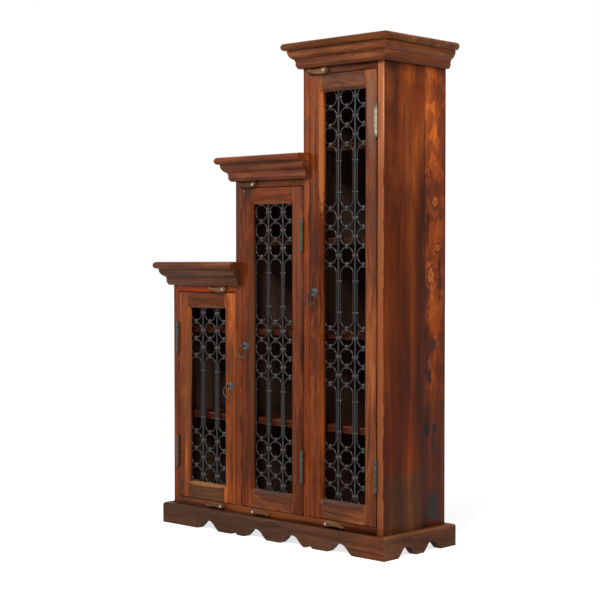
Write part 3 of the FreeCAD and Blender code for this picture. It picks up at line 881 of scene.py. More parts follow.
SIDE_PATCHES = (
    side_tint(-0.010, 1.000, 0.140, 0.200, (1.50, 1.62, 1.35), edge=0.3, ragged=0.7),
    # Painted light just under the cornice, which cancels the shade it casts.
    side_tint(0.010, 1.115, 0.130, 0.026, (1.45, 1.60, 1.50), edge=0.2, ragged=0.6),
    side_tint(-0.085, 1.085, 0.030, 0.060, (2.50, 2.40, 1.25), edge=0.3, ragged=0.6),
    side_tint(-0.019, 0.940, 0.026, 0.210, (0.56, 0.55, 0.80), 0.95, 0.5),
    side_tint(-0.070, 0.850, 0.050, 0.130, (0.66, 0.72, 0.95), ragged=0.6),
    side_tint(0.087, 0.700, 0.041, 0.560, (1.35, 1.35, 1.35), edge=0.97, ragged=0.02, square=True),
    side_tint(-0.032, 0.450, 0.079, 0.450, (0.72, 0.68, 0.53), 0.95, 0.80, 0.25, True),
    side_tint(-0.030, 0.270, 0.080, 0.150, (1.55, 1.28, 0.85)),
    side_tint(0.087, 0.300, 0.041, 0.280, (0.62, 0.51, 0.32), 0.95, 0.85, 0.3, True),
    side_tint(0.075, 0.720, 0.030, 0.090, (1.35, 1.25, 1.00), ragged=0.8),
    side_mark(0.046, 0.700, 0.0026, 0.500, (0.026, 0.009, 0.006), 0.85, 0.5, 0.3),
    side_tint(0.090, 1.010, 0.020, 0.090, (1.45, 1.50, 1.30), ragged=0.9, depth=0.02),
    side_tint(0.058, 0.760, 0.006, 0.050, DARK_LINE, edge=0.6, ragged=0.8, depth=0.02),
    side_tint(0.104, 0.640, 0.009, 0.070, DARK_LINE, edge=0.6, ragged=0.8, depth=0.02),
    side_tint(0.075, 0.580, 0.022, 0.040, (1.30, 1.30, 1.10), edge=0.5, ragged=0.9, depth=0.02),
    side_mark(0.072, 0.482, 0.020, 0.020, (0.052, 0.014, 0.009), 0.92, 0.7, 0.9),
    side_mark(0.067, 0.440, 0.008, 0.020, (0.210, 0.075, 0.032), 0.7, 0.5, 0.9),
    side_mark(0.066, 0.408, 0.008, 0.015, (0.022, 0.012, 0.008), 0.95, 0.7, 0.6),
    side_mark(0.055, 0.286, 0.012, 0.014, (0.010, 0.006, 0.005), 0.95, 0.85, 0.25, True),
    side_mark(0.086, 0.285, 0.012, 0.014, (0.018, 0.009, 0.006), 0.9, 0.7, 0.7),
    side_mark(0.080, 0.250, 0.007, 0.034, (0.022, 0.009, 0.006), 0.85, 0.6, 0.8),
    side_tint(-0.030, 0.120, 0.068, 0.074, (0.80, 1.30, 1.75), 1.0, 0.88, 0.15, True),
    side_mark(0.080, 0.100, 0.022, 0.034, (0.019, 0.017, 0.013), 0.92, 0.80, 0.30, True),
    side_mark(0.127, 0.600, 0.012, 0.700, (0.040, 0.018, 0.012), 0.8, 0.4, 0.3),
    Patch((0.3425, -0.105, 0.600), (0.0115, 0.0040, 0.620), (0.250, 0.078, 0.025), 0.85, 0.8, 0.3,
          square=True),
    Patch((0.345, -0.105, 1.040), (0.0170, 0.0040, 0.160), (0.340, 0.118, 0.042), 0.75, 0.5, 0.4,
          square=True),
    # Painted highlight along the upper part of the front corner's rim.
    Patch((0.3545, -0.1055, 1.040), (0.0035, 0.0040, 0.130), (0.600, 0.330, 0.180), 0.8, 0.4, 0.5),
)
SIDE_EYES = (
    Eye((0.354, 0.086, 0.822), (0.03, 0.0080, 0.0105)),
    Eye((0.354, 0.097, 0.714), (0.03, 0.0062, 0.0085)),
    Eye((0.354, 0.071, 0.648), (0.03, 0.0115, 0.0140)),
)
CURLY_STRIP = Recess((0.354, 0.0870, 0.740), (0.02, 0.0410, 0.420))


@dataclass
class Carcass:
    """The upright boards, the boards between them, the shelves and the back."""

    boards: tuple[Board, ...] = (
        Board("left_side_board", ALONG_Z, 3, (1.00, 0.88, 0.75)),
        Board("left_partition", ALONG_Z, 11, (1.00, 0.88, 0.72)),
        Board("right_partition", ALONG_Z, 23, (1.12, 0.93, 0.63)),
        Board("right_side_board", ALONG_Z, 31, (0.92, 0.86, 0.95), SIDE_PATCHES, SIDE_EYES, 2.0,
              curly=CURLY_STRIP),
        Board("bottom_board", ALONG_X, 5, (0.60, 0.60, 0.62), sharp=((2, 52.0),)),
        Board("small_top_board", ALONG_X, 7, (1.37, 0.75, 0.31)),
        Board("medium_top_board", ALONG_X, 13),
        Board("tall_top_board", ALONG_X, 19, (0.60, 0.62, 0.70)),
    )
    shelves: tuple[Board, ...] = (
        Board("small_shelves", ALONG_X, 37),
        Board("medium_shelves", ALONG_X, 41),
        Board("tall_shelves", ALONG_X, 47),
    )
    back: Board = Board("back_panel", ALONG_Z, 53, rounding=0.6)
    body: str = "carcass"

    def dress(self, frame: dict) -> None:
        """Finish every board of the carcass."""
        for board in self.boards:
            dress_board(frame, board, SIDE_WOOD if board.curly else CARCASS_WOOD, self.body)
        for board in self.shelves:
            dress_board(frame, board, SHADED_SHELF_WOOD, self.body)
        dress_board(frame, self.back, BACK_WOOD, self.body)


@dataclass
class Plinth:
    """The scalloped skirt."""

    boards: tuple[Board, ...] = (
        skirt_board("plinth_front", ALONG_X, 59, (0.87, 1.33, 1.58), (
            skirt_tint((0.345, -0.120, 0.030), (0.110, 0.040, 0.090), (1.75, 1.22, 0.98)),
            skirt_tint((0.160, -0.120, 0.030), (0.090, 0.040, 0.090), (1.22, 1.08, 1.03)),
        ), sharp=((1, -105.0),)),
        skirt_board("plinth_left", ALONG_Y, 61, sharp=((0, -354.0),)),
        skirt_board("plinth_right", ALONG_Y, 67, (1.39, 1.70, 1.57), (
            skirt_tint((0.365, -0.125, 0.030), (0.060, 0.090, 0.090), (1.70, 1.80, 1.85)),
        ), sharp=((0, 354.0),)),
        skirt_board("plinth_back", ALONG_X, 71, sharp=((1, 128.0),)),
    )
    body: str = "carcass"

    def dress(self, frame: dict) -> None:
        """Finish the four skirt boards."""
        for board in self.boards:
            dress_board(frame, board, PLINTH_WOOD, self.body)


def top_face(x: float, z: float, colour: Colour) -> tuple[Patch, ...]:
    """The tint of a slab's flat top, which the edges under it don't share."""
    return (Patch((x, 0.0, z), (0.20, 0.20, 0.0030), colour, 1.0, 0.4, 0.0, Blend.TINT, True),)


@dataclass
class Cornices:
    """The three slabs and the mouldings under them."""

    boards: tuple[Board, ...] = (
        smooth_board("small_top_slab", ALONG_X, 73, (0.91, 0.82, 0.66)),
        smooth_board("medium_top_slab", ALONG_X, 79, (1.84, 1.65, 0.92),
                     top_face(0.0, 0.940, (0.60, 0.58, 0.72))),
        smooth_board("tall_top_slab", ALONG_X, 83, (1.05, 1.10, 0.56),
                     top_face(0.24, 1.200, (0.98, 0.72, 0.75))),
        smooth_board("small_cornice_front", ALONG_X, 89, (0.60, 0.78, 0.96)),
        smooth_board("small_cornice_left", ALONG_Y, 97),
        smooth_board("medium_cornice_front", ALONG_X, 101, (0.93, 0.89, 1.03)),
        smooth_board("medium_cornice_left", ALONG_Y, 103),
        smooth_board("tall_cornice_front", ALONG_X, 107, (0.99, 1.05, 0.92)),
        smooth_board("tall_cornice_left", ALONG_Y, 109),
        smooth_board("tall_cornice_right", ALONG_Y, 113, (1.08, 0.95, 0.50)),
    )
    body: str = "carcass"

    def dress(self, frame: dict) -> None:
        """Finish the slabs and mouldings, whose curves are smooth already."""
        for board in self.boards:
            piece = dress_board(frame, board, CORNICE_WOOD, self.body)
            shade(piece.data, 28.0)


class ShapeTree:
    """A node tree that sets shapes on a piece's points, with named inputs for their sizes."""

    def __init__(self, name: str, sizes: tuple[str, ...]) -> None:
        """Start a tree with its points, its sizes, its metal and its result.

        Args:
            name: of the tree.
            sizes: names of the sizes that it takes.
        """
        self.tree = bpy.data.node_groups.new(name, "GeometryNodeTree")
        face = self.tree.interface
        face.new_socket(name="Layout", in_out="INPUT", socket_type="NodeSocketGeometry")
        kinds = {**dict.fromkeys(sizes, "NodeSocketFloat"), "Metal": "NodeSocketMaterial"}
        self.sockets = {key: face.new_socket(name=key, in_out="INPUT", socket_type=kind).identifier
                        for key, kind in kinds.items()}
        face.new_socket(name="Shapes", in_out="OUTPUT", socket_type="NodeSocketGeometry")
        self.g = Graph(self.tree)
        self.given = self.g.add("NodeGroupInput").outputs

    def finish(self, whole: Socket) -> None:
        """Smooth the realized whole, give it its metal and put it out."""
        whole = self.g.get("GeometryNodeSetShadeSmooth", {0: whole})
        whole = self.g.get("GeometryNodeSetMaterial", {"Geometry": whole, "Material": self.given["Metal"]})
        self.g.add("NodeGroupOutput", {0: whole})

    def run(self, piece: bpy.types.Object, sizes: dict[str, float], metal: bpy.types.Material) -> None:
        """Set the shapes on a piece's points and keep the plain mesh.

        Args:
            piece: the object whose mesh holds the points.
            sizes: every size by its name.
            metal: the material of the shapes.
        """
        modifier = piece.modifiers.new("Shapes", "NODES")
        modifier.node_group = self.tree
        for name, value in (*sizes.items(), ("Metal", metal)):
            modifier[self.sockets[name]] = value
        own_mesh(piece)


def point_mesh(name: str, places: list[Point], attribute: str, kind: str, values: list) -> bpy.types.Mesh:
    """Make a mesh of loose points that carry an attribute.

    Args:
        name: of the mesh.
        places: of the points, in metres.
        attribute: its name.
        kind: Blender's name for its type.
        values: its value at each point.

    Returns:
        The mesh.
    """
    mesh = bpy.data.meshes.new(name)
    mesh.from_pydata(places, [], [])
    mesh.attributes.new(attribute, kind, "POINT").data.foreach_set("value", values)
    return mesh


PADS = {Part.CLASP: "Clasp", Part.KNOB: "Knob", Part.COLLAR: "Collar"}
SIDES = ("Width", "Depth", "Height")


class GrilleTree(ShapeTree):
    """The node tree that forges a grille from a layout of points."""

    # How pale each pad is painted: rubbed metal, and partly a painted highlight on the knots and clasps.
    rubbed_and_highlit = {Part.CLASP: 0.45, Part.KNOB: 0.5, Part.COLLAR: 0.3}

    def __init__(self) -> None:
        """Join the shapes, set them on their points and finish the surface."""
        pads = {part: tuple(f"{pad} {side}" for side in SIDES) for part, pad in PADS.items()}
        super().__init__("forged_grille", (
            "Bar Width", "Bar Length", "Rail Length", "Rail Height", "Ring Radius", "Loop Reach",
            "Wire Radius", "Tie Width", "Unevenness", *sum(pads.values(), ())))
        shapes = {
            Part.BAR: self.square_bar("Bar Length", "Bar Width", "Bar Width", False),
            Part.RAIL: self.square_bar("Rail Length", "Bar Width", "Rail Height", True),
            Part.RING: self.wire_loop(0.0),
            Part.LOOP: self.wire_loop(self.given["Loop Reach"]),
            **{part: self.pad(*names) for part, names in pads.items()},
            Part.TIE: self.pad("Tie Width", "Bar Width", "Clasp Height"),
            Part.SHORT_TIE: self.pad("Tie Width", "Bar Width", "Collar Height"),
        }
        joined = self.g.add("GeometryNodeJoinGeometry")
        for part, shape in shapes.items():
            marked = self.g.get("GeometryNodeStoreNamedAttribute",
                                {"Geometry": shape, "Name": "wear_and_highlight", "Value": self.rubbed_and_highlit.get(part, 0.0)},
                                data_type="FLOAT", domain="POINT")
            self.g.tree.links.new(self.set_on_points(part, marked), joined.inputs[0])
        whole = self.g.get("GeometryNodeRealizeInstances", {"Geometry": joined.outputs[0]})
        self.finish(self.hammered(whole))

    def set_on_points(self, part: Part, shape: Socket) -> Socket:
        """Set one shape on the layout's points of its kind.

        Args:
            part: the kind.
            shape: what is set there.

        Returns:
            The instances.
        """
        kind = self.g.get("GeometryNodeInputNamedAttribute", {"Name": "kind"}, data_type="INT")
        same = self.g.get("FunctionNodeCompare", {2: kind, 3: part.value}, data_type="INT", operation="EQUAL")
        return self.g.get("GeometryNodeInstanceOnPoints", {"Points": self.given["Layout"], "Selection": same,
                                                           "Instance": shape})

    def square_bar(self, length: str, depth: str, height: str, level: bool) -> Socket:
        """A forged bar with eased corners.

        Args:
            length: name of the input with its length.
            depth: name of the input with its depth.
            height: name of the input with its width or height.
            level: whether it lies level instead of standing.

        Returns:
            The bar's mesh.
        """
        half = self.g.times(self.given[length], 0.5)
        start, end = (self.g.point(x=value) if level else self.g.point(z=value)
                      for value in (self.g.times(half, -1.0), half))
        line = self.g.get("GeometryNodeCurvePrimitiveLine", {"Start": start, "End": end})
        line = self.g.get("GeometryNodeResampleCurve", {"Curve": line, "Count": 40})
        section = self.g.get("GeometryNodeCurvePrimitiveQuadrilateral",
                             {"Width": self.given[height], "Height": self.given[depth]})
        section = self.g.get("GeometryNodeFilletCurve", {"Curve": section, "Count": 2, "Radius": 0.9 * MM},
                             mode="POLY")
        return self.g.get("GeometryNodeCurveToMesh", {"Curve": line, "Profile Curve": section,
                                                      "Fill Caps": True})

    def wire_loop(self, reach: Socket | float) -> Socket:
        """A ring of round wire, or a long one.

        Args:
            reach: how far its upper and lower halves are moved apart, each way.

        Returns:
            The loop's mesh, upright.
        """
        ring = self.circle("Ring Radius", 36)
        position = self.g.get("GeometryNodeInputPosition")
        up = self.g.math("SIGN", self.g.get("ShaderNodeSeparateXYZ", {0: position}, output=1))
        ring = self.g.get("GeometryNodeSetPosition", {"Geometry": ring,
                                                      "Offset": self.g.point(y=self.g.times(up, reach))})
        wire = self.g.get("GeometryNodeCurveToMesh", {"Curve": ring,
                                                      "Profile Curve": self.circle("Wire Radius", 8)})
        return self.g.get("GeometryNodeTransform", {"Geometry": wire, "Rotation": (math.pi / 2, 0, 0)})

    def circle(self, radius: str, corners: int) -> Socket:
        """A circle of so many corners, by the input with its radius."""
        return self.g.get("GeometryNodeCurvePrimitiveCircle", {"Resolution": corners,
                                                               "Radius": self.given[radius]})

    def pad(self, width: str, depth: str, height: str) -> Socket:
        """A clasp hammered to a rounded pad.

        Args:
            width: name of the input with its width.
            depth: name of the input with its depth.
            height: name of the input with its height.

        Returns:
            The pad's mesh.
        """
        before_rounding = 1.3
        cube = self.g.get("GeometryNodeMeshCube", {"Size": (before_rounding,) * 3})
        soft = self.g.get("GeometryNodeSubdivisionSurface", {"Mesh": cube, "Level": 2, "Edge Crease": 0.05})
        size = self.g.point(self.given[width], self.given[depth], self.given[height])
        return self.g.get("GeometryNodeTransform", {"Geometry": soft, "Scale": size})

    def hammered(self, whole: Socket) -> Socket:
        """Move the surface a little in and out, as hand forging leaves it."""
        dents = self.g.wander(self.g.get("GeometryNodeInputPosition"), 70.0, 1.0, self.given["Unevenness"])
        return self.g.get("GeometryNodeSetPosition", {"Geometry": whole, "Offset": dents})


@dataclass
class Grille:
    """A door's iron grille: bars with columns of rings and long loops between them.

    Attributes:
        name: the bay's name.
        ring_groups: groups of rings from top to bottom.
        rise: how far the top crossing lies above the door's opening, in millimetres.
        spread: how far apart the columns are, as a share of an even division.
        aside: how far they stand to the right, in millimetres.
        behind: how far the bars pass behind the rings.
        rings_in_group: rings above each other in a group.
        columns: columns of rings.
        bar: width and depth of a bar.
        wire: thickness of the rings.
        gap: the play between neighbours.
        tuck: how far the outer bars reach behind the frame.
        end_rail: height of the level bars at the ends.
        collar_setback: from a loop's end to its collar.
        pads: width, depth and height of clasps, knobs and collars.
        tie: width of the half clasps at the outer bars.
        unevenness: how deep the hammering is.
        sizes: what the node tree is given, worked out by layout.
    """

    name: str
    ring_groups: int
    rise: float
    spread: float
    aside: float
    behind: float = 1.0
    rings_in_group: int = 3
    columns: int = 3
    bar: float = 5.6
    wire: float = 4.4
    gap: float = 0.3
    tuck: float = 3.5
    end_rail: float = 6.0
    collar_setback: float = 38.0
    pads: tuple[Point, ...] = ((20.0, 8.4, 11.0), (9.5, 8.4, 14.5), (20.0, 8.8, 7.5))
    tie: float = 10.0
    unevenness: float = 0.5
    sizes: dict[str, float] = field(default_factory=dict)

    def layout(self, low: Vector, high: Vector) -> list[tuple[Point, Part]]:
        """Work out where each piece of iron goes.

        Args:
            low: lowest corner of the door's opening, in millimetres, at the front of the iron.
            high: highest corner of it.

        Returns:
            Places and what each carries, in millimetres; the node tree's sizes are kept.
        """
        top, bottom = high.z + self.rise, low.z
        pitch = (high.x - low.x + 2 * self.tuck) / self.columns
        outer = (pitch - self.bar) / 2 - self.gap
        row = 2 * outer + self.gap
        loop = (top - bottom - self.ring_groups * self.rings_in_group * row) / (self.ring_groups - 1)
        middle, apart = (low.x + high.x) / 2 + self.aside, pitch * self.spread
        columns = [middle + (index - (self.columns - 1) / 2) * apart for index in range(self.columns)]
        bars = [middle + (index - self.columns / 2) * apart for index in range(self.columns + 1)]
        y = low.y + self.wire / 2 + self.gap
        barred = y + self.behind
        self.sizes = {"Bar Width": self.bar, "Bar Length": top - bottom + 2 * self.end_rail,
                      "Rail Length": bars[-1] - bars[0], "Rail Height": self.end_rail,
                      "Ring Radius": outer - self.wire / 2, "Loop Reach": loop / 2 - row / 2,
                      "Wire Radius": self.wire / 2, "Tie Width": self.tie, "Unevenness": self.unevenness}
        for pad, size in zip(PADS.values(), self.pads):
            self.sizes.update({f"{pad} {side}": value for side, value in zip(SIDES, size)})
        placed = [((x, barred, (top + bottom) / 2), Part.BAR) for x in bars]
        placed += [((middle, barred, z), Part.RAIL)
                   for z in (bottom - self.end_rail / 2, top + self.end_rail / 2)]
        tie = (self.bar / 2 + self.gap + self.wire) / 2

        def cross(z: float, part: Part) -> None:
            """Put a part on every column at a height."""
            placed.extend(((x, y, z), part) for x in columns)

        def bind(z: float, clasp: Part, side: Part) -> None:
            """Clasps at the inner bars and ties at the outer ones."""
            placed.extend(((x, (y + barred) / 2, z), clasp) for x in bars[1:-1])
            placed.extend(((x, y, z), side) for x in (bars[0] + tie, bars[-1] - tie))

        z = top
        for group in range(self.ring_groups):
            for _ in range(self.rings_in_group):
                cross(z, Part.KNOB)
                cross(z - row / 2, Part.RING)
                bind(z - row / 2, Part.CLASP, Part.TIE)
                z -= row
            cross(z, Part.KNOB)
            if group < self.ring_groups - 1:
                cross(z - loop / 2, Part.LOOP)
                for setback in (self.collar_setback, loop - self.collar_setback):
                    bind(z - setback, Part.COLLAR, Part.SHORT_TIE)
                z -= loop
        return placed

    def build(self, tree: GrilleTree, low: Vector, high: Vector, rebate: float) -> bpy.types.Object:
        """Forge the grille between the corners of the door's opening.

        Args:
            tree: the node tree that forges it.
            low: lowest corner of the opening, in millimetres, at the door's front.
            high: highest corner of it.
            rebate: how far the iron lies behind the front.

        Returns:
            The forged piece.
        """
        placed = self.layout(low + Vector((0, rebate, 0)), high + Vector((0, rebate, 0)))
        places = [tuple(value * MM for value in place) for place, _ in placed]
        mesh = point_mesh(self.name + "_grille_layout", places, "kind", "INT",
                          [part.value for _, part in placed])
        piece = new_piece(self.name + "_door_grille_forged", mesh)
        sizes = {name: value * MM for name, value in self.sizes.items()}
        tree.run(piece, sizes, GRILLE_IRON.material(self.name))
        return piece


@dataclass
class RingPull:
    """A petalled rosette with an eye, and the ring that hangs in it.

    Attributes:
        name: the bay's name.
        petals: round the rosette.
        rosette_radius: in millimetres, as the lengths below.
        ring_radius: of the ring's middle line.
        wire: half the ring's thickness.
        eye_reach: from the eye back to the door.
        swell: how much thicker the ring is at its lowest place.
    """

    name: str
    petals: int = 6
    rosette_radius: float = 11.0
    ring_radius: float = 14.0
    wire: float = 1.5
    eye_reach: float = 12.5
    swell: float = 0.25

    def rosette(self, eye: Vector) -> bpy.types.Mesh:
        """A domed plate with shallow petals, a turned post and a bored eye.

        Args:
            eye: middle of the eye, in the cabinet's frame.

        Returns:
            The finished mesh.
        """
        form = bmesh.new()
        rim, turns, dent = self.rosette_radius, 48, 0.05
        profile = ((rim, 0.0), (rim, 0.9), (10.3, 1.5), (9.0, 2.3), (7.2, 3.1), (5.2, 3.7), (3.6, 4.4),
                   (2.8, 5.6), (2.5, 7.2), (2.9, 8.4))
        petalled = 8.5
        rows = []
        for radius, out in profile:
            row = []
            for angle in (2 * math.pi * turn / turns for turn in range(turns)):
                reach = radius
                if radius > petalled:
                    reach *= 1 - dent * abs(math.sin(self.petals * angle / 2))
                row.append(form.verts.new((reach * math.sin(angle), self.eye_reach - out,
                                           reach * math.cos(angle))))
            rows.append(row)
        for lower, upper in zip(rows, rows[1:]):
            bridge(form, lower, upper)
        form.faces.new(list(reversed(rows[0])))
        form.faces.new(rows[-1])
        self.add_torus(form, Matrix.Rotation(math.pi / 2, 4, "Y"), (3.1, 1.15, 0.0), (20, 10))
        return self.finished(form, eye, "_rosette")

    def ring(self, eye: Vector) -> bpy.types.Mesh:
        """The drop ring, thicker at its lowest place, hanging from the eye's middle."""
        form = bmesh.new()
        turned = Matrix.Translation((0, 0, -self.ring_radius)) @ Matrix.Rotation(math.pi / 2, 4, "X")
        self.add_torus(form, turned, (self.ring_radius, self.wire, self.swell), (56, 12))
        return self.finished(form, eye, "_ring")

    def finished(self, form: bmesh.types.BMesh, eye: Vector, ending: str) -> bpy.types.Mesh:
        """Bring a form in millimetres to the eye, and write it to a smooth mesh.

        Args:
            form: the form, with the eye at its origin.
            eye: middle of the eye, in the cabinet's frame.
            ending: of the mesh's name.

        Returns:
            The mesh.
        """
        bmesh.ops.recalc_face_normals(form, faces=form.faces)
        bmesh.ops.transform(form, matrix=Matrix.Translation(eye) @ Matrix.Scale(MM, 4), verts=form.verts)
        mesh = written(form, self.name + ending)
        shade(mesh, 50.0)
        return mesh

    @staticmethod
    def add_torus(form: bmesh.types.BMesh, place: Matrix, sizes: Point, corners: tuple[int, int]) -> None:
        """Add a torus in the XY plane of a placing matrix.

        Args:
            form: what it is added to.
            place: the placing matrix.
            sizes: its radius, half its thickness, and how much thicker it is at its far Y side.
            corners: how many there are round it and round its section.
        """
        radius, wire, swell = sizes
        rows = []
        for angle in (2 * math.pi * turn / corners[0] for turn in range(corners[0])):
            thick = wire * (1 + swell * max(0.0, -math.sin(angle)) ** 2)
            row = []
            for tilt in (2 * math.pi * spot / corners[1] for spot in range(corners[1])):
                reach = radius + thick * math.cos(tilt)
                corner = Vector((reach * math.cos(angle), reach * math.sin(angle), thick * math.sin(tilt)))
                row.append(form.verts.new(place @ corner))
            rows.append(row)
        for one, two in zip(rows, rows[1:] + rows[:1]):
            bridge(form, two, one)

    def build(self, frame: dict) -> None:
        """Make both pieces where the frame has them."""
        joint = next(joint for joint in frame["joints"] if joint["name"] == self.name + "_ring_swing")
        eye = Vector(joint["pos_m"])
        for part, mesh, finish, body in (("plate", self.rosette(eye), PULL_IRON, "_door"),
                                         ("ring", self.ring(eye), RING_IRON, "_pull_ring")):
            node = f"{self.name}_door_pull_{part}"
            mesh.materials.append(finish.material(node))
            settle(new_piece(node + "_forged", mesh), self.name + body, (node,))


class StudTree(ShapeTree):
    """The node tree that sets a domed head on every point, by the point's own radius."""

    def __init__(self) -> None:
        """Squash a ball, set it on the points and finish the heads."""
        super().__init__("stud_heads", ("Rise",))
        ball = self.g.get("GeometryNodeMeshUVSphere", {"Segments": 16, "Rings": 10, "Radius": 1.0})
        dome = self.g.get("GeometryNodeTransform", {"Geometry": ball,
                                                    "Scale": self.g.point(1.0, self.given["Rise"], 1.0)})
        radius = self.g.get("GeometryNodeInputNamedAttribute", {"Name": "head"}, data_type="FLOAT")
        heads = self.g.get("GeometryNodeInstanceOnPoints", {"Points": self.given["Layout"], "Instance": dome,
                                                            "Scale": radius})
        self.finish(self.g.get("GeometryNodeRealizeInstances", {"Geometry": heads}))


@dataclass
class Studs:
    """Domed nail heads and pegs in one body.

    Attributes:
        name: of the piece.
        body: what they are driven into.
        places: middle of each head in metres, and its radius in millimetres.
        rise: height of a head against its radius.
    """

    name: str
    body: str
    places: tuple[tuple[Point, float], ...]
    rise: float = 0.55

    def build(self, tree: StudTree, finish: MetalFinish) -> None:
        """Drive the studs in, made by a node tree in a finish."""
        mesh = point_mesh(self.name, [place for place, _ in self.places], "head", "FLOAT",
                          [radius * MM for _, radius in self.places])
        piece = new_piece(self.name, mesh)
        tree.run(piece, {"Rise": self.rise}, finish.material(self.name))
        settle(piece, self.body)


@dataclass
class Door:
    """One framed door with its grille, hinge leaves and pull.

    Attributes:
        name: the bay's name.
        grille: the iron in its opening.
        boards: its two stiles and two rails.
        studs: nail heads on its front, with their radius in millimetres.
        insets: how far left and right stiles, top and bottom rails reach into the opening, in millimetres.
        hinge: the finish of its hinge leaves.
        rebate: depth of the iron behind the front.
        bevel: width of the sloping border round the opening.
        bevel_depth: how far it goes back.
    """

    name: str
    grille: Grille
    boards: tuple[Board, ...]
    studs: tuple[tuple[Point, float], ...]
    insets: tuple[float, float, float, float]
    hinge: MetalFinish = HINGE_IRON
    rebate: float = 12.7
    bevel: float = 8.0
    bevel_depth: float = 5.5

    def opening(self) -> tuple[Vector, Vector]:
        """Corners of the opening between stiles and rails, in millimetres, at the door's front."""
        left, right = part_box(self.name + "_door_left_stile"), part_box(self.name + "_door_right_stile")
        lower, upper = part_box(self.name + "_door_bottom_rail"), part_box(self.name + "_door_top_rail")
        front = lower[0].y / MM
        return (Vector((left[1].x / MM, front, lower[1].z / MM)),
                Vector((right[0].x / MM, front, upper[0].z / MM)))

    def sight(self, low: Vector, high: Vector) -> tuple[Vector, Vector]:
        """Corners of what is left open inside the bevel, in millimetres, from those of the opening."""
        left, right, top, bottom = self.insets
        return low + Vector((left, 0, bottom)), high - Vector((right, 0, top))

    def bevel_plug(self, low: Vector, high: Vector) -> bpy.types.Object:
        """A tapered plug with rounded corners, which cuts the bevel round the opening.

        Args:
            low: lowest corner of the sight opening, in millimetres.
            high: highest corner of it.

        Returns:
            The plug, which is removed when the boards are cut.
        """
        form = bmesh.new()
        outlines = []
        slope, past_front, past_back = self.bevel / self.bevel_depth, 1.0, 0.05
        for depth, spread in ((-past_front, self.bevel + slope),
                              (self.bevel_depth + past_back, -past_back * slope)):
            radius = max(0.05, spread * 1.3)
            inward = spread - radius
            corners = ((high.x + inward, high.z + inward), (low.x - inward, high.z + inward),
                       (low.x - inward, low.z - inward), (high.x + inward, low.z - inward))
            outline = []
            for (quarter, (x, z)), step in product(enumerate(corners), range(6)):
                angle = math.pi / 2 * (quarter + step / 5)
                outline.append(form.verts.new((x + radius * math.cos(angle), low.y + depth,
                                               z + radius * math.sin(angle))))
            outlines.append(outline)
        bridge(form, *outlines)
        for outline in outlines:
            form.faces.new(outline)
        bmesh.ops.recalc_face_normals(form, faces=form.faces)
        bmesh.ops.scale(form, vec=(MM, MM, MM), verts=form.verts)
        mesh = written(form, self.name + "_bevel_plug")
        return new_piece(mesh.name, mesh)

    def dress(self, frame: dict, grilles: GrilleTree, heads: StudTree) -> None:
        """Build and finish everything that turns with the door.

        Args:
            grilles: the node tree of the grilles.
            heads: the node tree of the nail heads.
        """
        body = self.name + "_door"
        low, high = self.opening()
        inner, outer = self.sight(low, high)
        plug = self.bevel_plug(inner, outer)
        moves = tuple((axis, old[axis], new[axis])
                      for old, new in ((low, inner), (high, outer)) for axis in (0, 2))
        for board in self.boards:
            dress_board(frame, board, DOOR_WOOD, body, Fitting(plug, moves))
        bpy.data.objects.remove(plug)
        settle(self.grille.build(grilles, low, high, self.rebate), body,
               (self.name + "_door_grille",))
        dress_metal(frame, self.name + "_door_hinge_leaves", self.hinge, body)
        RingPull(self.name).build(frame)
        Studs(self.name + "_door_nails", body, self.studs).build(heads, NAIL_IRON)


@dataclass
class Fittings:
    """What is fixed to the carcass: hinge leaves, pins and the turn buttons."""

    seeds: tuple[int, ...] = (127, 131, 137, 139, 149, 151)

    def dress(self, frame: dict) -> None:
        """Finish the metal and the buttons."""
        for node, finish, rounding in (("hinge_frame_leaves", TALL_HINGE_IRON, 0.4),
                                       ("hinge_pins", TALL_HINGE_IRON, 0.3),
                                       ("turn_button_pins", PIN_STEEL, 0.0)):
            dress_metal(frame, node, finish, "carcass", rounding)
        for (bay, end), seed in zip(product(("small", "medium", "tall"), ("top", "bottom")), self.seeds):
            node = f"{bay}_turn_button_{end}"
            piece = dress_board(frame, smooth_board(node, ALONG_X, seed), BUTTON_WOOD, node)
            shade(piece.data, 40.0)


@dataclass(frozen=True)
class Lamp:
    """A square soft lamp.

    Attributes:
        name: where it stands.
        at: its place.
        aim: what it faces.
        size: its side in metres.
        power: in watts.
    """

    name: str
    at: Point
    aim: Point
    size: float
    power: float

    def hang(self) -> None:
        """Put the lamp into the scene."""
        light = bpy.data.lights.new(self.name, "AREA")
        light.size = self.size
        light.energy = self.power
        lamp = bpy.data.objects.new(self.name, light)
        lamp.location = self.at
        lamp.rotation_euler = (Vector(self.aim) - Vector(self.at)).to_track_quat("-Z", "Y").to_euler()
        bpy.context.collection.objects.link(lamp)


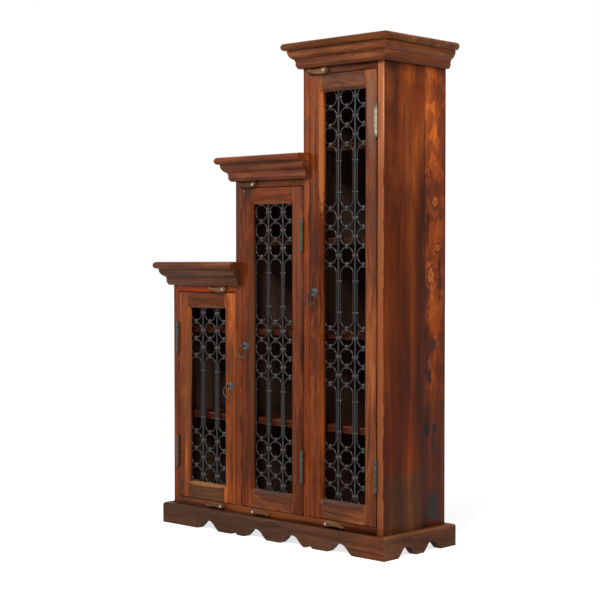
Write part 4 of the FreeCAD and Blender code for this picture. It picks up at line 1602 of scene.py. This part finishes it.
@dataclass
class Studio:
    """Floor, soft lamps, white surroundings and the camera."""

    camera_at: Point = (2.4898, -2.6830, 0.6960)
    yaw: float = 0.7486
    pitch: float = 0.0302
    lens: float = 88.05
    lamps: tuple[Lamp, ...] = (
        Lamp("key", (1.2, -2.7, 3.1), (0.0, 0.0, 0.55), 1.0, 150.0),
        Lamp("left", (-2.4, -2.6, 1.6), (0.0, 0.0, 0.6), 1.6, 30.0),
        Lamp("side", (3.4, -0.2, 2.0), (0.2, 0.0, 0.6), 1.4, 45.0),
    )

    def build(self) -> None:
        """Make everything that isn't the cabinet."""
        self.floor()
        self.surroundings()
        for lamp in self.lamps:
            lamp.hang()
        self.camera()

    def floor(self) -> None:
        """A plain pale floor that keeps the cabinet's shadow."""
        form = bmesh.new()
        bmesh.ops.create_grid(form, x_segments=1, y_segments=1, size=14.0)
        mesh = written(form, "floor")
        material, g = new_material("studio_floor")
        away = g.length(g.get("ShaderNodeTexCoord", output="Object"))
        level = g.get("ShaderNodeMapRange", {"Value": away, "From Min": 0.7, "From Max": 2.6, "To Min": 0.74,
                                             "To Max": 1.0})
        diffuse = g.get("ShaderNodeBsdfDiffuse", {"Color": (0.55, 0.55, 0.55, 1.0)})
        strength = g.times(g.open_rays(), level)
        glow = g.get("ShaderNodeEmission", {"Color": (1.0, 1.0, 1.0, 1.0), "Strength": strength})
        g.add("ShaderNodeOutputMaterial", {"Surface": g.get("ShaderNodeAddShader", {0: diffuse, 1: glow})})
        mesh.materials.append(material)
        new_piece("floor", mesh)

    def surroundings(self) -> None:
        """White where the camera and mirror-like surfaces look, and a soft fill elsewhere."""
        world = bpy.data.worlds.new("studio")
        world.use_nodes = True
        bpy.context.scene.world = world
        g = Graph(world.node_tree)
        fill, white = (g.get("ShaderNodeBackground", {"Color": (1.0, 1.0, 1.0, 1.0), "Strength": strength})
                       for strength in (0.32, 1.0))
        both = g.get("ShaderNodeMixShader", {0: g.open_rays(), 1: fill, 2: white})
        g.add("ShaderNodeOutputWorld", {"Surface": both})

    def camera(self) -> None:
        """Stand the camera where the photograph was taken from."""
        lens = bpy.data.cameras.new("camera")
        lens.lens = self.lens
        lens.sensor_width = 36.0
        camera = bpy.data.objects.new("camera", lens)
        camera.location = self.camera_at
        camera.rotation_euler = (math.pi / 2 - self.pitch, 0.0, self.yaw)
        bpy.context.collection.objects.link(camera)
        bpy.context.scene.camera = camera


def door_boards(name: str, seed: int, *colourings: tuple) -> tuple[Board, ...]:
    """Name a door's boards and take them from one place in the log.

    Args:
        name: the bay's name.
        seed: of the first board.
        *colourings: tint, patches and eyes of the left stile, the right stile, the top rail and the bottom
                     rail; the border patches are painted light and shade.

    Returns:
        The four boards.
    """
    parts = (("left_stile", ALONG_Z), ("right_stile", ALONG_Z),
             ("top_rail", ALONG_X), ("bottom_rail", ALONG_X))
    return tuple(Board(f"{name}_door_{part}", grain, seed + 4 * index, *colouring)
                 for index, ((part, grain), colouring) in enumerate(zip(parts, colourings)))


def doors() -> tuple[Door, ...]:
    """The three doors, from the lowest bay to the tallest."""
    # The border patches paint light and shade onto each door's sloping border.
    return (
        Door("small", Grille("small", 2, 5.0, 1.03, -3.0), door_boards(
            "small", 157,
            ((1.77, 1.71, 1.32), (
                border_shading(-0.3025, 0.338, 0.0055, 0.260, (0.066, 0.026, 0.015), ragged=0.3),)),
            ((1.47, 1.32, 0.71),),
            ((0.94, 0.77, 0.26), (border_shading(-0.232, 0.5668, 0.078, 0.0058, (0.150, 0.064, 0.057)),)),
            ((0.45, 0.63, 0.85), (
                border_shading(-0.232, 0.1105, 0.080, 0.0060, (0.500, 0.135, 0.030), 0.92, 0.7),)),
        ), (((-0.1595, -0.1040, 0.1110), 2.6),), (2.0, 8.0, 3.4, 4.4)),
        Door("medium", Grille("medium", 3, -2.0, 0.975, 1.0), door_boards(
            "medium", 173,
            ((1.00, 0.74, 0.46), (
                border_shading(-0.0705, 0.468, 0.0055, 0.400, (0.074, 0.038, 0.026), ragged=0.3),
                Patch((-0.0895, -0.105, 0.795), (0.0022, 0.01, 0.075), (0.024, 0.008, 0.005), 0.95, 0.5, 0.5),
                Patch((-0.0820, -0.105, 0.690), (0.0020, 0.01, 0.090), (0.040, 0.012, 0.007), 0.8, 0.5, 0.6),
            )),
            ((0.52, 0.40, 0.41), (), (Eye((0.1010, -0.105, 0.836), (0.0080, 0.03, 0.0180), 0.3),)),
            ((1.48, 0.99, 0.45), (border_shading(0.0, 0.8262, 0.078, 0.0058, (0.130, 0.060, 0.042)),)),
            ((1.22, 1.43, 1.63), (border_shading(0.0, 0.1135, 0.080, 0.0060, (0.040, 0.020, 0.0125), 0.9),)),
        ), (((-0.0640, -0.1045, 0.1090), 2.6), ((-0.0960, -0.1048, 0.8550), 3.0)), (5.2, 7.5, 3.8, 7.0)),
        Door("tall", Grille("tall", 4, 3.0, 1.035, 1.7), door_boards(
            "tall", 191,
            ((0.72, 0.58, 0.42), (
                Patch((0.147, -0.105, 0.450), (0.010, 0.01, 0.260), (0.060, 0.019, 0.012), 0.6),
                # Painted light on the upper part of the left stile's sloping border.
                Patch((0.1620, -0.101, 0.950), (0.0080, 0.0140, 0.170), (0.410, 0.152, 0.061), 0.92, 0.7))),
            ((1.35, 1.46, 1.36), (
                Patch((0.317, -0.105, 1.030), (0.020, 0.02, 0.130), (0.130, 0.055, 0.035), 0.7),)),
            ((0.41, 0.46, 0.65), (border_shading(0.230, 1.0850, 0.078, 0.0058, (0.130, 0.050, 0.023)),),
             (Eye((0.2050, -0.105, 1.0900), (0.0180, 0.03, 0.0080), 0.25),)),
            ((0.97, 1.23, 1.54), (border_shading(0.230, 0.1145, 0.080, 0.0060, (0.076, 0.028, 0.0145)),)),
        ), (((0.1660, -0.1045, 0.1090), 3.9), ((0.1300, -0.1048, 1.1180), 3.0)), (7.5, 5.2, 5.0, 8.0),
            TALL_HINGE_IRON),
    )


def main() -> None:
    """Load the frame, dress it and set the studio."""
    logging.basicConfig(level=logging.INFO, format="%(name)s: %(message)s")
    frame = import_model()
    for section in (Carcass(), Plinth(), Cornices()):
        section.dress(frame)
    grilles, heads = GrilleTree(), StudTree()
    for door in doors():
        door.dress(frame, grilles, heads)
    Fittings().dress(frame)
    Studio().build()
    bpy.context.scene.view_settings.view_transform = "Standard"


if __name__ == "__main__":
    main()
